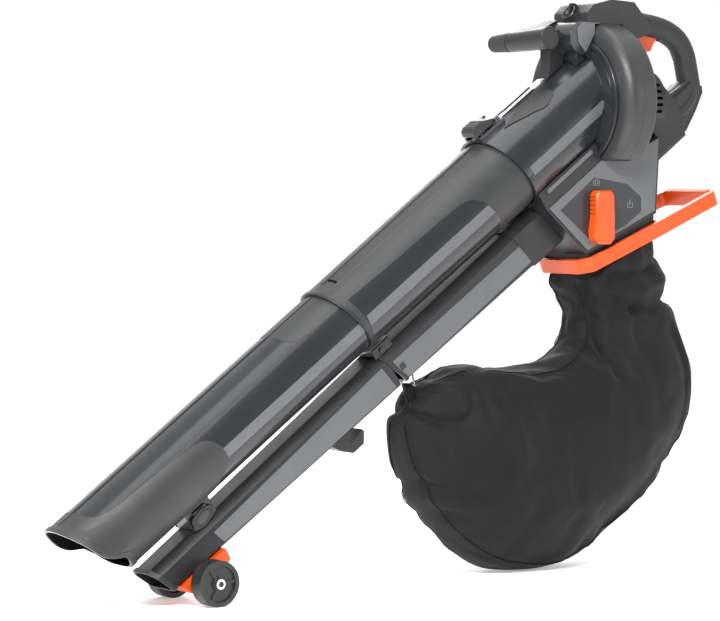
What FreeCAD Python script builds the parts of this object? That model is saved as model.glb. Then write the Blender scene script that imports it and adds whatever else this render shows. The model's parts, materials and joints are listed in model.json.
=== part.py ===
"""Battery leaf vacuum mulcher standing on its two wheels and its bag.

Everything is drawn in a level working frame: X runs back from the wheel axle, Y to the
machine's right, Z up from the ground. The tubes are drawn along their own axis and tilted.
"""
import FreeCAD, Part
import math
import os

V = FreeCAD.Vector
os.makedirs("parts", exist_ok=True)

# ---- driving dimensions, mm and degrees ----
TILT = 35.4                      # slope of the suction tube
COLLAR = V(605.9, 0, 654.0)      # where the suction axis crosses the tube-to-housing seam
CENTRE_X = 387.45                # middle of the machine, measured back from the wheel axle
WALL = 2.5                       # usual moulding wall

NOZZLE_R = 61.5                  # lower suction tube, outside
UPPER_R0, UPPER_R1 = 65.0, 68.5  # upper suction tube, outside, front and rear
DUCT_R = 73.0                    # intake duct of the housing, outside
MID_SEAM, MID_LEAN = -415.0, 0.21
COLLAR_SEAM, COLLAR_LEAN = -18.7, 0.14

BLOW_HALF = 32.0                 # half width of the blow tube
WHEEL_R, WHEEL_W, WHEEL_TRACK = 35.0, 25.0, 125.0
AXLE_R = 4.0
AXLE_U, AXLE_W = -852.5, -153.55  # wheel axle in the tube's own frame

FAN_X, FAN_Z = 788.0, 764.0      # middle of the fan scroll
SCROLL_R, SCROLL_T = 133.0, 61.0
SCROLL_FLOOR = 668.0             # where the scroll opens into the diverter box
IMPELLER_R = 112.0

BOX_HALF = 61.0                  # half width of the diverter box
SELECTOR = V(749.0, 0, 549.0)    # selector axis
FLAP_LEN = 94.0

FRAME_SLOPE = 21.5               # slope of the bag frame
FRAME_FRONT = V(720, 0, 492)     # middle of its front bar
BAG_CLOTH = 2.0
HARNESS = V(744.0, 0, 919.5)     # hinge line of the harness ring
RING_HANG = 57.0                 # how far below level the ring hangs, on the yoke
BAG_LATCH = V(905.0, 0, 572.0)   # hinge line of the bag latch

PARTS = {}
SCREWS = []                      # every screw, gathered into one node


def add(name, shape):
    """Keep one finished piece under its node name."""
    PARTS[name] = shape


def prism(outline, y0, y1):
    """Solid with an outline in the X-Z plane, from y0 to y1."""
    points = [V(x, y0, z) for x, z in outline]
    face = Part.Face(Part.makePolygon(points + points[:1]))
    return face.extrude(V(0, y1 - y0, 0))


def plate(outline, z0, z1):
    """Solid with an outline in the X-Y plane, from z0 to z1."""
    points = [V(x, y, z0) for x, y in outline]
    face = Part.Face(Part.makePolygon(points + points[:1]))
    return face.extrude(V(0, 0, z1 - z0))


def block(x0, x1, y0, y1, z0, z1):
    return Part.makeBox(x1 - x0, y1 - y0, z1 - z0, V(x0, y0, z0))


def rod_x(x0, x1, r, y=0.0, z=0.0):
    return Part.makeCylinder(r, x1 - x0, V(x0, y, z), V(1, 0, 0))


def rod_y(y0, y1, r, x=0.0, z=0.0):
    return Part.makeCylinder(r, y1 - y0, V(x, y0, z), V(0, 1, 0))


def rod_out(side, y0, y1, r, x=0.0, z=0.0):
    """Rod across the machine between two distances from its middle, on side -1 or 1."""
    near, far = sorted((side * y0, side * y1))
    return rod_y(near, far, r, x, z)


def join(shapes):
    return shapes[0].multiFuse(shapes[1:]).removeSplitter()


def tilted(shape):
    """Turn a piece drawn along the suction axis into the level frame."""
    moved = shape.copy()
    moved.rotate(V(0, 0, 0), V(0, 1, 0), -TILT)
    moved.translate(COLLAR)
    return moved


def tilted_point(u, y, w):
    t = math.radians(TILT)
    return COLLAR + V(u * math.cos(t) - w * math.sin(t), y, u * math.sin(t) + w * math.cos(t))


def ahead_of(u0, lean, reach=400.0):
    """Everything ahead of the leaning plane u = u0 - lean * w."""
    side = [(u0 - lean * reach, reach), (u0 + lean * reach, -reach), (-2000, -reach), (-2000, reach)]
    return prism(side, -reach, reach)


def round_bar(u0, u1, r0, r1):
    """Solid round bar along X whose radius goes from r0 to r1."""
    if r0 == r1:
        return Part.makeCylinder(r0, u1 - u0, V(u0, 0, 0), V(1, 0, 0))
    return Part.makeCone(r0, r1, u1 - u0, V(u0, 0, 0), V(1, 0, 0))


def cone_shell(u0, u1, r0, r1, wall):
    """Open round tube from u0 to u1 whose outside radius goes from r0 to r1."""
    return round_bar(u0, u1, r0, r1).cut(round_bar(u0, u1, r0 - wall, r1 - wall))


def swept_handle(path, half_h, half_w):
    """Solid of oval section along a smooth line through points of the X-Z plane."""
    curve = Part.BSplineCurve()
    curve.interpolate([V(x, 0, z) for x, z in path])
    spine = Part.Wire(curve.toShape())
    start = curve.value(curve.FirstParameter)
    along = curve.tangent(curve.FirstParameter)[0]
    across = V(0, 1, 0).cross(along)
    ring = Part.Wire([Part.Edge(Part.Ellipse(start + across * half_h, start + V(0, half_w, 0), start))])
    pipe = spine.makePipeShell([ring], True, False)
    return pipe


# ---- suction tube ----
def mouth_cutter(offset):
    """What lies ahead of the nozzle's wavy slanted mouth, moved back by an offset."""
    lip = [(-1004, 68), (-1000, 55), (-990, 30), (-981, 6), (-966, -12), (-950, -22),
           (-943, -36), (-938, -55), (-925, -68)]
    curve = Part.BSplineCurve()
    curve.interpolate([V(u + offset, -100, w) for u, w in lip])
    end_top, end_low = V(lip[0][0] + offset, -100, 68), V(lip[-1][0] + offset, -100, -68)
    corners = [end_low, V(end_low.x, -100, -120), V(-1300, -100, -120), V(-1300, -100, 120),
               V(end_top.x, -100, 120), end_top]
    edges = [curve.toShape()]
    for first, second in zip(corners, corners[1:]):
        edges.append(Part.makeLine(first, second))
    return Part.Face(Part.Wire(edges)).extrude(V(0, 200, 0))


def suction_tubes():
    pipe = cone_shell(-1010, -345, NOZZLE_R, NOZZLE_R, WALL)
    rail = block(-985, -432, -3, 3, NOZZLE_R - 1.5, NOZZLE_R + 1.6)
    rim = cone_shell(-1010, -900, NOZZLE_R + 1.8, NOZZLE_R + 1.8, WALL + 1.8)
    rim = rim.common(mouth_cutter(12.0))
    lower = join([pipe, rail, rim]).cut(mouth_cutter(0.0))
    add("suction_tube_lower", tilted(lower))

    shell = cone_shell(-440, 40, UPPER_R0, UPPER_R1 + 0.2, 3.0)
    band = cone_shell(-440, -404, UPPER_R0 + 1.6, UPPER_R0 + 1.6, 2.5)
    band = band.cut(tube_behind(MID_SEAM + 9.0, MID_LEAN))
    ridge = Part.makeLoft([ridge_wire(-402, UPPER_R0), ridge_wire(-38, UPPER_R1)], True, True)
    upper = join([shell, band, ridge]).cut(ahead_of(MID_SEAM, MID_LEAN))
    add("suction_tube_upper", tilted(upper))


def ridge_wire(u, r):
    corners = [V(u, -3, r - 1.5), V(u, 3, r - 1.5), V(u, 3, r + 1.8), V(u, -3, r + 1.8)]
    return Part.makePolygon(corners + corners[:1])


def tube_behind(u0, lean, reach=400.0):
    """Everything behind the leaning plane u = u0 - lean * w."""
    side = [(u0 - lean * reach, reach), (u0 + lean * reach, -reach), (2000, -reach), (2000, reach)]
    return prism(side, -reach, reach)


# ---- blow tube ----
def blow_wire(u, top, bottom, inset=0.0):
    """Section of the blow tube at u: flat sides, bevelled upper edges."""
    half = BLOW_HALF - inset
    low, high = bottom + inset, top - inset
    shoulder = high - 13.0 + 0.4 * inset
    crown = half - 14.0
    corners = [V(u, -half, low + 4), V(u, -half, shoulder), V(u, -crown, high), V(u, crown, high),
               V(u, half, shoulder), V(u, half, low + 4), V(u, half - 4, low), V(u, 4 - half, low)]
    return Part.makePolygon(corners + corners[:1])


def blow_top(u):
    return -73.0 - 13.0 * u / -900.0


def blow_bottom(u):
    return -149.0 + 16.5 * u / -900.0


def blow_shell(u0, u1, grow=0.0, wall=WALL):
    def section(u, inset):
        return blow_wire(u, blow_top(u), blow_bottom(u), inset - grow)
    outer = Part.makeLoft([section(u0, 0), section(u1, 0)], True, True)
    inner = Part.makeLoft([section(u0 - 1, wall + grow), section(u1 + 1, wall + grow)], True, True)
    return outer.cut(inner)


def blow_tubes():
    mouth = ahead_of(-952, 0.38)
    lower = blow_shell(-925, -388)
    lip = blow_shell(-925, -880, 1.5).common(ahead_of(-943, 0.38))
    lower = join([lower, lip]).cut(mouth).cut(tube_behind(-426, 0.35))
    add("blow_tube_lower", tilted(lower))

    upper = blow_shell(-440, 34)
    seam_band = blow_shell(-440, -370, 1.5).common(ahead_of(-418, 0.35))
    sleeve = blow_shell(-78, 34, 2.0).cut(ahead_of(-92, 0.2))
    lug = block(-372, -340, -9, 9, blow_bottom(-356) - 7, blow_bottom(-356) + 2)
    lug = lug.cut(rod_y(-12, 12, 2.2, -349, blow_bottom(-356) - 3.2))
    upper = join([upper, seam_band, sleeve, lug]).cut(ahead_of(-425.5, 0.35))
    peg_hole = block(-374, -365, -BLOW_HALF - 3, -BLOW_HALF + 6, -122, -113)
    upper = upper.cut(peg_hole)
    upper = upper.cut(round_bar(-60, 60, DUCT_R + 1.3, DUCT_R + 1.3))
    add("blow_tube_upper", tilted(upper).cut(prism(box_outline(0.05), -200, 200)))


# ---- clips, hook and the bag's ring under the tubes ----
def tube_fittings():
    above = Part.makeCylinder(NOZZLE_R + 0.1, 300, V(-900, 0, 0), V(1, 0, 0))
    clip = join([block(-818, -768, -21, 21, -92, -56), block(-806, -780, -25, 25, -88, -62)])
    under = Part.makeLoft([blow_wire(-900, blow_top(-900), blow_bottom(-900), -0.1),
                           blow_wire(-700, blow_top(-700), blow_bottom(-700), -0.1)], True, True)
    add("tube_clip_front", tilted(clip.cut(above).cut(under)))

    above = Part.makeCone(UPPER_R0 + 1.9, UPPER_R1, 440, V(-440, 0, 0), V(1, 0, 0))
    under = Part.makeLoft([blow_wire(-440, blow_top(-440) + 1.6, blow_bottom(-440), -1.7),
                           blow_wire(-300, blow_top(-300) + 1.6, blow_bottom(-300), -1.7)], True, True)
    clip = join([block(-402, -362, -24, 24, -92, -58), block(-402, -362, -26, 26, -86, -66)])
    clip = clip.cut(above).cut(under)
    screw_u, screw_w, face = -384, -75, 26.0
    for side in (-1, 1):
        clip = clip.cut(rod_out(side, face - 14, face, 2.1, screw_u, screw_w))
        shank = rod_out(side, face - 13, face, 2.0, screw_u, screw_w)
        head = rod_out(side, face, face + 2.4, 4.6, screw_u, screw_w)
        socket = rod_out(side, face + 1, face + 3, 2.0, screw_u, screw_w)
        SCREWS.append(tilted(join([shank, head]).cut(socket)))
    add("tube_clip_middle", tilted(clip))

    low = blow_bottom(-510)
    hook = prism([(-541, low), (-541, low - 6), (-530, low - 24), (-514, low - 40), (-490, low - 40),
                  (-478, low - 24), (-480, low - 18), (-492, low - 22), (-508, low - 22), (-512, low - 14),
                  (-498, low - 6), (-484, low - 5), (-484, low)], -15, 15)
    tube_under = Part.makeLoft([blow_wire(-560, blow_top(-560), blow_bottom(-560)),
                                blow_wire(-460, blow_top(-460), blow_bottom(-460))], True, True)
    add("storage_hook", tilted(hook.cut(tube_under)))


# ---- wheels ----
def wheels():
    under = blow_bottom(AXLE_U)
    cheek = [(-890, under - 0.2), (-798, under - 0.2), (-800, -152), (-838, -166), (-866, -166), (-884, -150)]
    body = prism(cheek, -42, 42)
    pocket = prism([(-884, under - 5), (-806, under - 5), (-806, -190), (-884, -190)], -37, 37)
    boss = rod_y(-48, 48, 11, AXLE_U, AXLE_W)
    bracket = join([body.cut(pocket), boss])
    tube_under = Part.makeLoft([blow_wire(-930, blow_top(-930), blow_bottom(-930), -0.1),
                                blow_wire(-760, blow_top(-760), blow_bottom(-760), -0.1)], True, True)
    bracket = bracket.cut(tube_under).cut(rod_y(-60, 60, AXLE_R, AXLE_U, AXLE_W))
    add("wheel_bracket", tilted(bracket))

    half = WHEEL_TRACK / 2 + WHEEL_W / 2 + 4.0
    add("wheel_axle", tilted(rod_y(-half, half, AXLE_R, AXLE_U, AXLE_W)))
    caps = []
    middle = WHEEL_TRACK / 2
    face = middle + WHEEL_W / 2 + 0.5
    for side, name in ((-1, "wheel_left"), (1, "wheel_right")):
        add(name, tilted(wheel(middle, side)))
        cap = rod_out(side, face, face + 3.0, 8.0, AXLE_U, AXLE_W)
        caps.append(cap.cut(rod_y(-200, 200, AXLE_R, AXLE_U, AXLE_W)))
    add("axle_caps", tilted(Part.makeCompound(caps)))


def wheel(middle, side):
    """Moulded wheel, its middle that far out on its side: dished both ways, three ribs outside."""
    inner, outer = middle - WHEEL_W / 2, middle + WHEEL_W / 2
    dish_floor, back_floor = outer - 4.0, inner + 9.0
    tread = rod_out(side, inner, outer, WHEEL_R, AXLE_U, AXLE_W)
    dish = rod_out(side, dish_floor, outer + 2.0, 28.0, AXLE_U, AXLE_W)
    hub = rod_out(side, dish_floor, outer, 11.0, AXLE_U, AXLE_W)
    back = rod_out(side, inner, back_floor, 28.0, AXLE_U, AXLE_W)
    back_hub = rod_out(side, inner, back_floor, 12.0, AXLE_U, AXLE_W)
    body = tread.cut(dish).cut(back)
    ribs = []
    for turn in (30, 150, 270):
        near, far = sorted((side * dish_floor, side * (dish_floor + 2.5)))
        rib = block(AXLE_U + 10, AXLE_U + 29, near, far, AXLE_W - 2.5, AXLE_W + 2.5)
        rib.rotate(V(AXLE_U, 0, AXLE_W), V(0, 1, 0), turn)
        ribs.append(rib)
    body = join([body, hub, back_hub] + ribs)
    bore = rod_y(-200, 200, AXLE_R + 0.05, AXLE_U, AXLE_W)
    return body.cut(bore)


# ---- intake duct and its latch ----
def duct_solid(r, u0=-60.0, u1=260.0):
    return tilted(Part.makeCylinder(r, u1 - u0, V(u0, 0, 0), V(1, 0, 0)))


def scroll_disc(r, x0, x1):
    return rod_x(x0, x1, r, 0, FAN_Z)


def intake_duct():
    front_x = FAN_X - SCROLL_T / 2
    pipe = cone_shell(-60, 260, DUCT_R, DUCT_R, 3.0)
    rail = block(-10, 120, -3, 3, DUCT_R - 1.5, DUCT_R + 1.6)
    collar = cone_shell(-60, 12, DUCT_R + 1.2, DUCT_R + 1.2, 3.0 + 1.2)
    latch_base = block(-34, 30, -20, 20, 60, 79).cut(block(-60, 26, -15.5, 15.5, 75, 90))
    latch_base = latch_base.cut(Part.makeCylinder(DUCT_R - 1, 200, V(-80, 0, 0), V(1, 0, 0)))
    duct = join([pipe, rail, collar, latch_base]).cut(ahead_of(COLLAR_SEAM, COLLAR_LEAN))
    duct = tilted(duct)
    behind = block(front_x - 3.2, front_x + 400, -300, 300, 300, 1200)
    duct = duct.cut(behind)
    flange = rod_x(front_x - 7.0, front_x - 0.2, 106.0, 0, FAN_Z - 3.0)
    groove = rod_x(front_x - 9.0, front_x - 5.0, 99.0, 0, FAN_Z - 3.0).cut(
        rod_x(front_x - 9.0, front_x - 5.0, 93.0, 0, FAN_Z - 3.0))
    flange = flange.cut(groove).cut(duct_solid(DUCT_R - 2.0)).cut(prism(box_outline(0.3), -200, 200))
    add("intake_duct", join([duct, flange]))


def tube_latch():
    wedge = prism([(-33, 84), (-33, 92), (-27, 97), (-6, 97), (24, 84), (24, 81), (-27, 81)], -15, 15)
    ribs = []
    for step in range(4):
        ribs.append(block(-24 + 5 * step, -21.5 + 5 * step, -15, 15, 97, 97.8))
    latch = join([wedge] + ribs).cut(rod_y(-30, 30, 1.55, 19, 83.5))
    add("tube_latch", tilted(latch))
    pin_ears = join([block(14, 24, -19, -15.6, 78, 88), block(14, 24, 15.6, 19, 78, 88)])
    pin = tilted(rod_y(-18.9, 18.9, 1.5, 19, 83.5))
    ears = pin_ears.cut(rod_y(-30, 30, 1.5, 19, 83.5))
    PARTS["intake_duct"] = join([PARTS["intake_duct"], tilted(ears)])
    coil = Part.makeCylinder(4.0, 5.4, V(-18, 0, 75.2), V(0, 0, 1)).cut(
        Part.makeCylinder(2.8, 6.0, V(-18, 0, 75.0), V(0, 0, 1)))
    add("latch_spring", tilted(coil))
    return pin


# ---- fan scroll, motor and impeller ----
def rounded_disc(r, x0, x1, edge, front=True):
    disc = rod_x(x0, x1, r, 0, FAN_Z)
    face_x = x0 if front else x1
    for line in disc.Edges:
        box = line.BoundBox
        if abs(box.XMin - face_x) < 0.01 and abs(box.XMax - face_x) < 0.01:
            return disc.makeFillet(edge, [line])
    return disc


def scroll():
    x0, x1 = FAN_X - SCROLL_T / 2, FAN_X + SCROLL_T / 2
    floor = block(x0 - 50, x1 + 50, -200, 200, 400, SCROLL_FLOOR)
    outer = rounded_disc(SCROLL_R, x0, FAN_X - 0.2, 17.0)
    inner = rounded_disc(SCROLL_R - 3.0, x0 + 3.0, FAN_X + 5, 14.0)
    front = outer.cut(inner).cut(duct_solid(DUCT_R - 3.0)).cut(floor)
    add("scroll_front", front)
    outer = rounded_disc(SCROLL_R, FAN_X + 0.2, x1, 9.0, False)
    inner = rounded_disc(SCROLL_R - 3.0, FAN_X - 5, x1 - 3.0, 6.0, False)
    seat = rod_x(x1 - 1, x1 + 6, 30.0, 0, FAN_Z)
    rear = join([outer.cut(inner), seat]).cut(rod_x(x1 - 10, x1 + 10, 11.0, 0, FAN_Z)).cut(floor)
    add("scroll_rear", rear)


def drive():
    x1 = FAN_X + SCROLL_T / 2
    shaft = rod_x(767, 902 - 8, 4.0, 0, FAN_Z)
    add("motor_shaft", shaft)
    bearings = []
    for start in (x1 - 2.8, 884.0):
        race = rod_x(start, start + 7.0, 11.0, 0, FAN_Z)
        bearings.append(race.cut(rod_x(start - 1, start + 9, 4.05, 0, FAN_Z)))
    add("motor_bearings", Part.makeCompound(bearings))
    can = rod_x(x1 + 6.2, 884, 36.0, 0, FAN_Z).cut(rod_x(x1 + 9.2, 882, 33.0, 0, FAN_Z))
    can = can.cut(rod_x(x1, 900, 11.0, 0, FAN_Z))
    slots = []
    for turn in range(6):
        slot = block(850, 874, -5, 5, FAN_Z + 30, FAN_Z + 40)
        slot.rotate(V(0, 0, FAN_Z), V(1, 0, 0), 60 * turn)
        slots.append(slot)
    can = can.cut(slots[0].multiFuse(slots[1:]))
    add("motor_can", can)
    rotor = rod_x(840, 872, 24.0, 0, FAN_Z).cut(rod_x(830, 890, 4.0, 0, FAN_Z))
    add("motor_rotor", rotor)

    plate_x = FAN_X + 19.0
    hub = rod_x(772, plate_x, 16.0, 0, FAN_Z)
    disc = rod_x(plate_x - 3.0, plate_x, IMPELLER_R, 0, FAN_Z)
    blades = []
    for turn in range(10):
        blade = block(776, plate_x - 2.5, 12, IMPELLER_R - 1.5, FAN_Z - 1.5, FAN_Z + 1.5)
        blade.rotate(V(0, 14, FAN_Z), V(1, 0, 0), 16)
        blade.rotate(V(0, 0, FAN_Z), V(1, 0, 0), 36 * turn)
        blades.append(blade)
    limit = rod_x(770, 820, IMPELLER_R, 0, FAN_Z)
    impeller = join([hub, disc] + blades).common(limit).cut(rod_x(760, 830, 4.0, 0, FAN_Z))
    add("impeller", impeller)
    blade_bar = block(769.0, 771.8, -46, 46, FAN_Z - 9, FAN_Z + 9)
    add("shredder_blade", blade_bar.cut(rod_x(760, 780, 4.0, 0, FAN_Z)))
    hexagon = []
    for corner in range(6):
        turn = math.radians(60 * corner)
        hexagon.append(V(764.5, 7.5 * math.cos(turn), FAN_Z + 7.5 * math.sin(turn)))
    nut = Part.Face(Part.makePolygon(hexagon + hexagon[:1])).extrude(V(4.4, 0, 0))
    add("impeller_nut", nut.cut(rod_x(767, 780, 4.0, 0, FAN_Z)))


# ---- diverter box ----
def box_outline(grow=0.0):
    """Side view of the diverter box, grown outwards by a small amount."""
    g = grow
    return [(624.5 - g, 612), (643 - g, 586 - g), (725 - g, 514 - g), (877 + g, 580 - g), (885 + g, 707 + g),
            (824, 680 + g), (818.5, 668 + g), (757.0, 668 + g), (745, 696 + g), (741.5 - g, 694 + g)]


BOX_INSIDE = [(630, 609), (647, 589), (727, 518), (873, 581.5), (881, 701), (826, 677),
              (820, 665), (755, 665), (741, 690)]


def diverter_box():
    outer = prism(box_outline(), -BOX_HALF, BOX_HALF)
    inside = prism(BOX_INSIDE, -BOX_HALF + 3, BOX_HALF - 3)
    box = outer.cut(inside).cut(duct_solid(DUCT_R + 1.3, -60, 14)).cut(duct_solid(DUCT_R + 0.1))
    x0, x1 = FAN_X - SCROLL_T / 2, FAN_X + SCROLL_T / 2
    box = box.cut(scroll_disc(SCROLL_R + 0.2, x0 - 0.3, x1 + 0.2).common(
        block(700, 900, -200, 200, SCROLL_FLOOR, 900)))
    box = box.cut(block(x0 + 3.5, x1 - 3.5, -BOX_HALF + 3, BOX_HALF - 3, 655, 690))
    port = Part.makeLoft([blow_wire(-40, blow_top(0), blow_bottom(0), -2.1),
                          blow_wire(60, blow_top(0), blow_bottom(0), -2.1)], True, True)
    box = box.cut(tilted(port))
    box = box.cut(prism([(748, 480), (866, 480), (866, 600), (748, 600)], -50, 50).common(
        prism([(700, 460), (900, 460), (900, 594), (727, 519)], -60, 60)))
    skirt = prism([(736, 520), (736, 500), (876, 561), (876, 581)], -56, 56).cut(
        prism([(741, 530), (741, 480), (871, 540), (871, 600)], -51, 51))
    skirt = skirt.cut(prism(BOX_INSIDE, -100, 100))
    bore = rod_y(-100, 100, 5.05, SELECTOR.x, SELECTOR.z)
    box = join([box, skirt]).cut(bore)
    catch = prism([(876, 594), (884, 594), (884, 602), (877, 606)], -14, 14)
    box = join([box, catch])
    add("diverter_box_left", box.common(block(500, 1000, -200, -0.05, 300, 900)))
    add("diverter_box_right", box.common(block(500, 1000, 0.05, 200, 300, 900)))


PANEL = [(646, 589), (757, 667), (819, 667), (820, 678), (880, 704), (872, 584), (727, 520.5)]
INSET = [(669, 586), (741, 639), (812, 628), (842, 606), (842, 583), (809, 561), (738, 533)]


def side_panels():
    trims = []
    for side, name in ((-1, "left"), (1, "right")):
        near, far = side * BOX_HALF, side * (BOX_HALF + 2.2)
        panel = prism(PANEL, min(near, far), max(near, far))
        if side < 0:
            panel = panel.cut(prism(INSET, -90, 0))
            inset = prism(INSET, min(near, far) + 0.7, max(near, far))
            inset = inset.cut(rod_y(-100, 0, 9.0, SELECTOR.x, SELECTOR.z))
            add("selector_panel", inset)
        panel = panel.cut(duct_solid(DUCT_R + 1.4))
        add("side_panel_" + name, panel)
        trims.append(tilted(block(8, 122, min(near, far), max(near, far), -56, -49)))
    add("shoulder_trims", Part.makeCompound(trims))


KNOB = [(-22, 3), (-18.5, 22), (-18.5, 62), (-12, 69), (14, 69), (20.5, 61), (22, 25), (22, -10), (13, -19),
        (-11, -18.5), (-20, -11)]


def selector():
    x, z = SELECTOR.x, SELECTOR.z
    y0, y1 = -BOX_HALF - 21.0, -BOX_HALF - 2.7
    knob = prism([(x + dx, z + dz) for dx, dz in KNOB], y0, y1)
    front = [line for line in knob.Edges if line.BoundBox.YMax < y0 + 0.1]
    knob = knob.makeChamfer(3.0, front)
    grooves = []
    for step in range(5):
        low = z + 30 + 7 * step
        grooves.append(block(x - 19, x - 17, y0 + 4, y1, low, low + 2))
    knob = knob.cut(grooves[0].multiFuse(grooves[1:]))
    knob = knob.cut(rod_y(y1 - 8, y1 + 1, 5.0, x, z))
    add("selector_knob", knob)
    shaft = rod_y(y1 - 8, BOX_HALF - 0.5, 5.0, x, z)
    flap = block(x - 1.5, x + 1.5, -BOX_HALF + 4, BOX_HALF - 4, z + 4, z + FLAP_LEN)
    sleeve = rod_y(-BOX_HALF + 4, BOX_HALF - 4, 8.0, x, z)
    flap = join([flap, sleeve]).cut(rod_y(-100, 100, 5.0, x, z))
    add("selector_shaft", shaft)
    add("diverter_flap", flap)


# ---- spine, handles ----
HANDLE_PATH = [(850, 897), (885, 895), (916, 891), (950, 883), (977, 867), (992, 844), (999, 818),
               (1003, 794), (995, 770), (977, 752), (950, 736), (925, 722)]
HANDLE_ARM = [(936, 772), (962, 786), (984, 800), (1020, 800), (1023, 783), (1008, 752), (986, 717),
              (958, 716.5), (948, 736)]
SPINE = [(742, 838), (742, 908), (756, 922), (794, 931), (844, 928), (878, 893), (876, 876), (852, 868),
         (852, 770), (818.9, 770)]
BAY = [(818.9, 691), (887, 713), (890, 669), (955, 715), (951, 738), (930, 768), (905, 792), (818.9, 792)]
BAY_FLOOR = [(885.5, 667.5), (889.5, 662.5), (957, 710), (954, 714)]
PACK = [(896, 681), (948, 718), (945, 735), (925, 763), (918, 770), (896, 770)]
PACK_MOUTH = [(895, 679), (949, 717), (946, 735.5), (926, 764), (918.5, 771), (895, 771)]
BAY_INSIDE = [(816, 696), (889, 716), (894, 675.5), (951, 716), (948, 736.5), (928, 765), (903, 789),
              (816, 789)]


def machine_limits():
    """What the spine and handle must stay clear of: duct, flange and scroll."""
    x0, x1 = FAN_X - SCROLL_T / 2, FAN_X + SCROLL_T / 2
    return [duct_solid(DUCT_R + 2.0), rod_x(x0 - 7.3, x0, 106.3, 0, FAN_Z - 3.0),
            rod_x(x0 - 0.2, x1 + 0.2, SCROLL_R + 0.3, 0, FAN_Z)]


def rear_bay(shape_half, outline, r, x0, x1):
    bay = prism(outline, -shape_half, shape_half)
    return join([bay, rod_x(x0, x1, r, 0, FAN_Z)])


def rear_housing():
    outer = rear_bay(46.0, BAY, 54.0, 818.9, 905)
    inner = rear_bay(43.2, BAY_INSIDE, 51.2, 815, 902.2)
    shell = outer.cut(inner)
    vents = []
    for step in range(5):
        for side in (-1, 1):
            y_low = 30 if side > 0 else -60
            vents.append(block(862, 898, y_low, y_low + 30, 746 + 11 * step, 751 + 11 * step))
        vents.append(block(900, 908, -22, 22, 800 - 11 * step, 805 - 11 * step))
    shell = shell.cut(vents[0].multiFuse(vents[1:]))
    shell = shell.cut(prism(PACK_MOUTH, 30, 60)).cut(prism(BAY_FLOOR, -60, 60))
    add("rear_housing_left", shell.common(block(700, 1100, -200, -0.05, 300, 1200)))
    add("rear_housing_right", shell.common(block(700, 1100, 0.05, 200, 300, 1200)))
    add("bay_floor", prism(BAY_FLOOR, -45.8, 45.8))
    add("battery_pack", prism(PACK, -40, 48))
    add("control_board", block(832, 886, -28, 28, 716.5, 718.5))
    return outer


def spine_and_handle(bay_solid):
    limits = machine_limits()
    spine_outer = prism(SPINE, -42, 42)
    hollow = prism([(745, 840), (745, 906), (758, 918.5), (794, 927.8), (842, 925), (874, 892), (872, 879),
                    (849, 870), (849, 775), (822, 775)], -39, 39)
    spine = spine_outer
    for other in limits:
        spine = spine.cut(other)
    spine = spine.cut(hollow.cut(rod_x(700, 900, SCROLL_R + 3.3, 0, FAN_Z).common(
        block(740, 818, -60, 60, 700, 1000)))).cut(bay_solid)
    root_hole = swept_handle(HANDLE_PATH, 20.2, 18.2)
    spine = spine.cut(root_hole)
    add("spine_cover", spine)

    full = swept_handle(HANDLE_PATH, 20.0, 18.0)
    core = swept_handle(HANDLE_PATH, 17.6, 15.6)
    hollow_core = swept_handle(HANDLE_PATH, 14.6, 12.3)
    grip_zone = prism([(905, 800), (905, 940), (1100, 940), (1100, 790)], -60, 60)
    grip = full.cut(core).common(grip_zone)
    body = full.cut(hollow_core).cut(grip_zone.common(full.cut(core)))
    arm = prism(HANDLE_ARM, -14, 14).cut(grip_zone).cut(full)
    body = join([body, arm]).cut(bay_solid)
    slot = block(882.5, 931, -6.6, 6.6, 850, 886)
    grip = grip.cut(slot)
    body = body.cut(slot)
    pin_bore = rod_y(-30, 30, 1.75, 890, 889)
    add("grip_overmould", grip)
    left = body.common(block(700, 1100, -200, -0.05, 300, 1200))
    right = body.common(block(700, 1100, 0.05, 200, 300, 1200))
    add("rear_handle_left", left.cut(pin_bore))
    add("rear_handle_right", right.cut(pin_bore))
    pad = prism([(884.5, 893), (896, 893), (925, 884), (926.5, 872), (920, 864), (912, 850), (904, 849),
                 (893, 860), (884.5, 872)], -5.8, 5.8)
    add("trigger", pad.cut(rod_y(-10, 10, 1.8, 890, 889)))
    spring = Part.makeCylinder(3.2, 8.5, V(918, 0, 887.5), V(0, 0, 1)).cut(
        Part.makeCylinder(2.3, 12.0, V(918, 0, 886), V(0, 0, 1)))
    add("trigger_spring", spring)
    add("power_switch", block(932, 950, -6, 6, 879, 891))
    return rod_y(-13.5, 13.5, 1.75, 890, 889)


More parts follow.
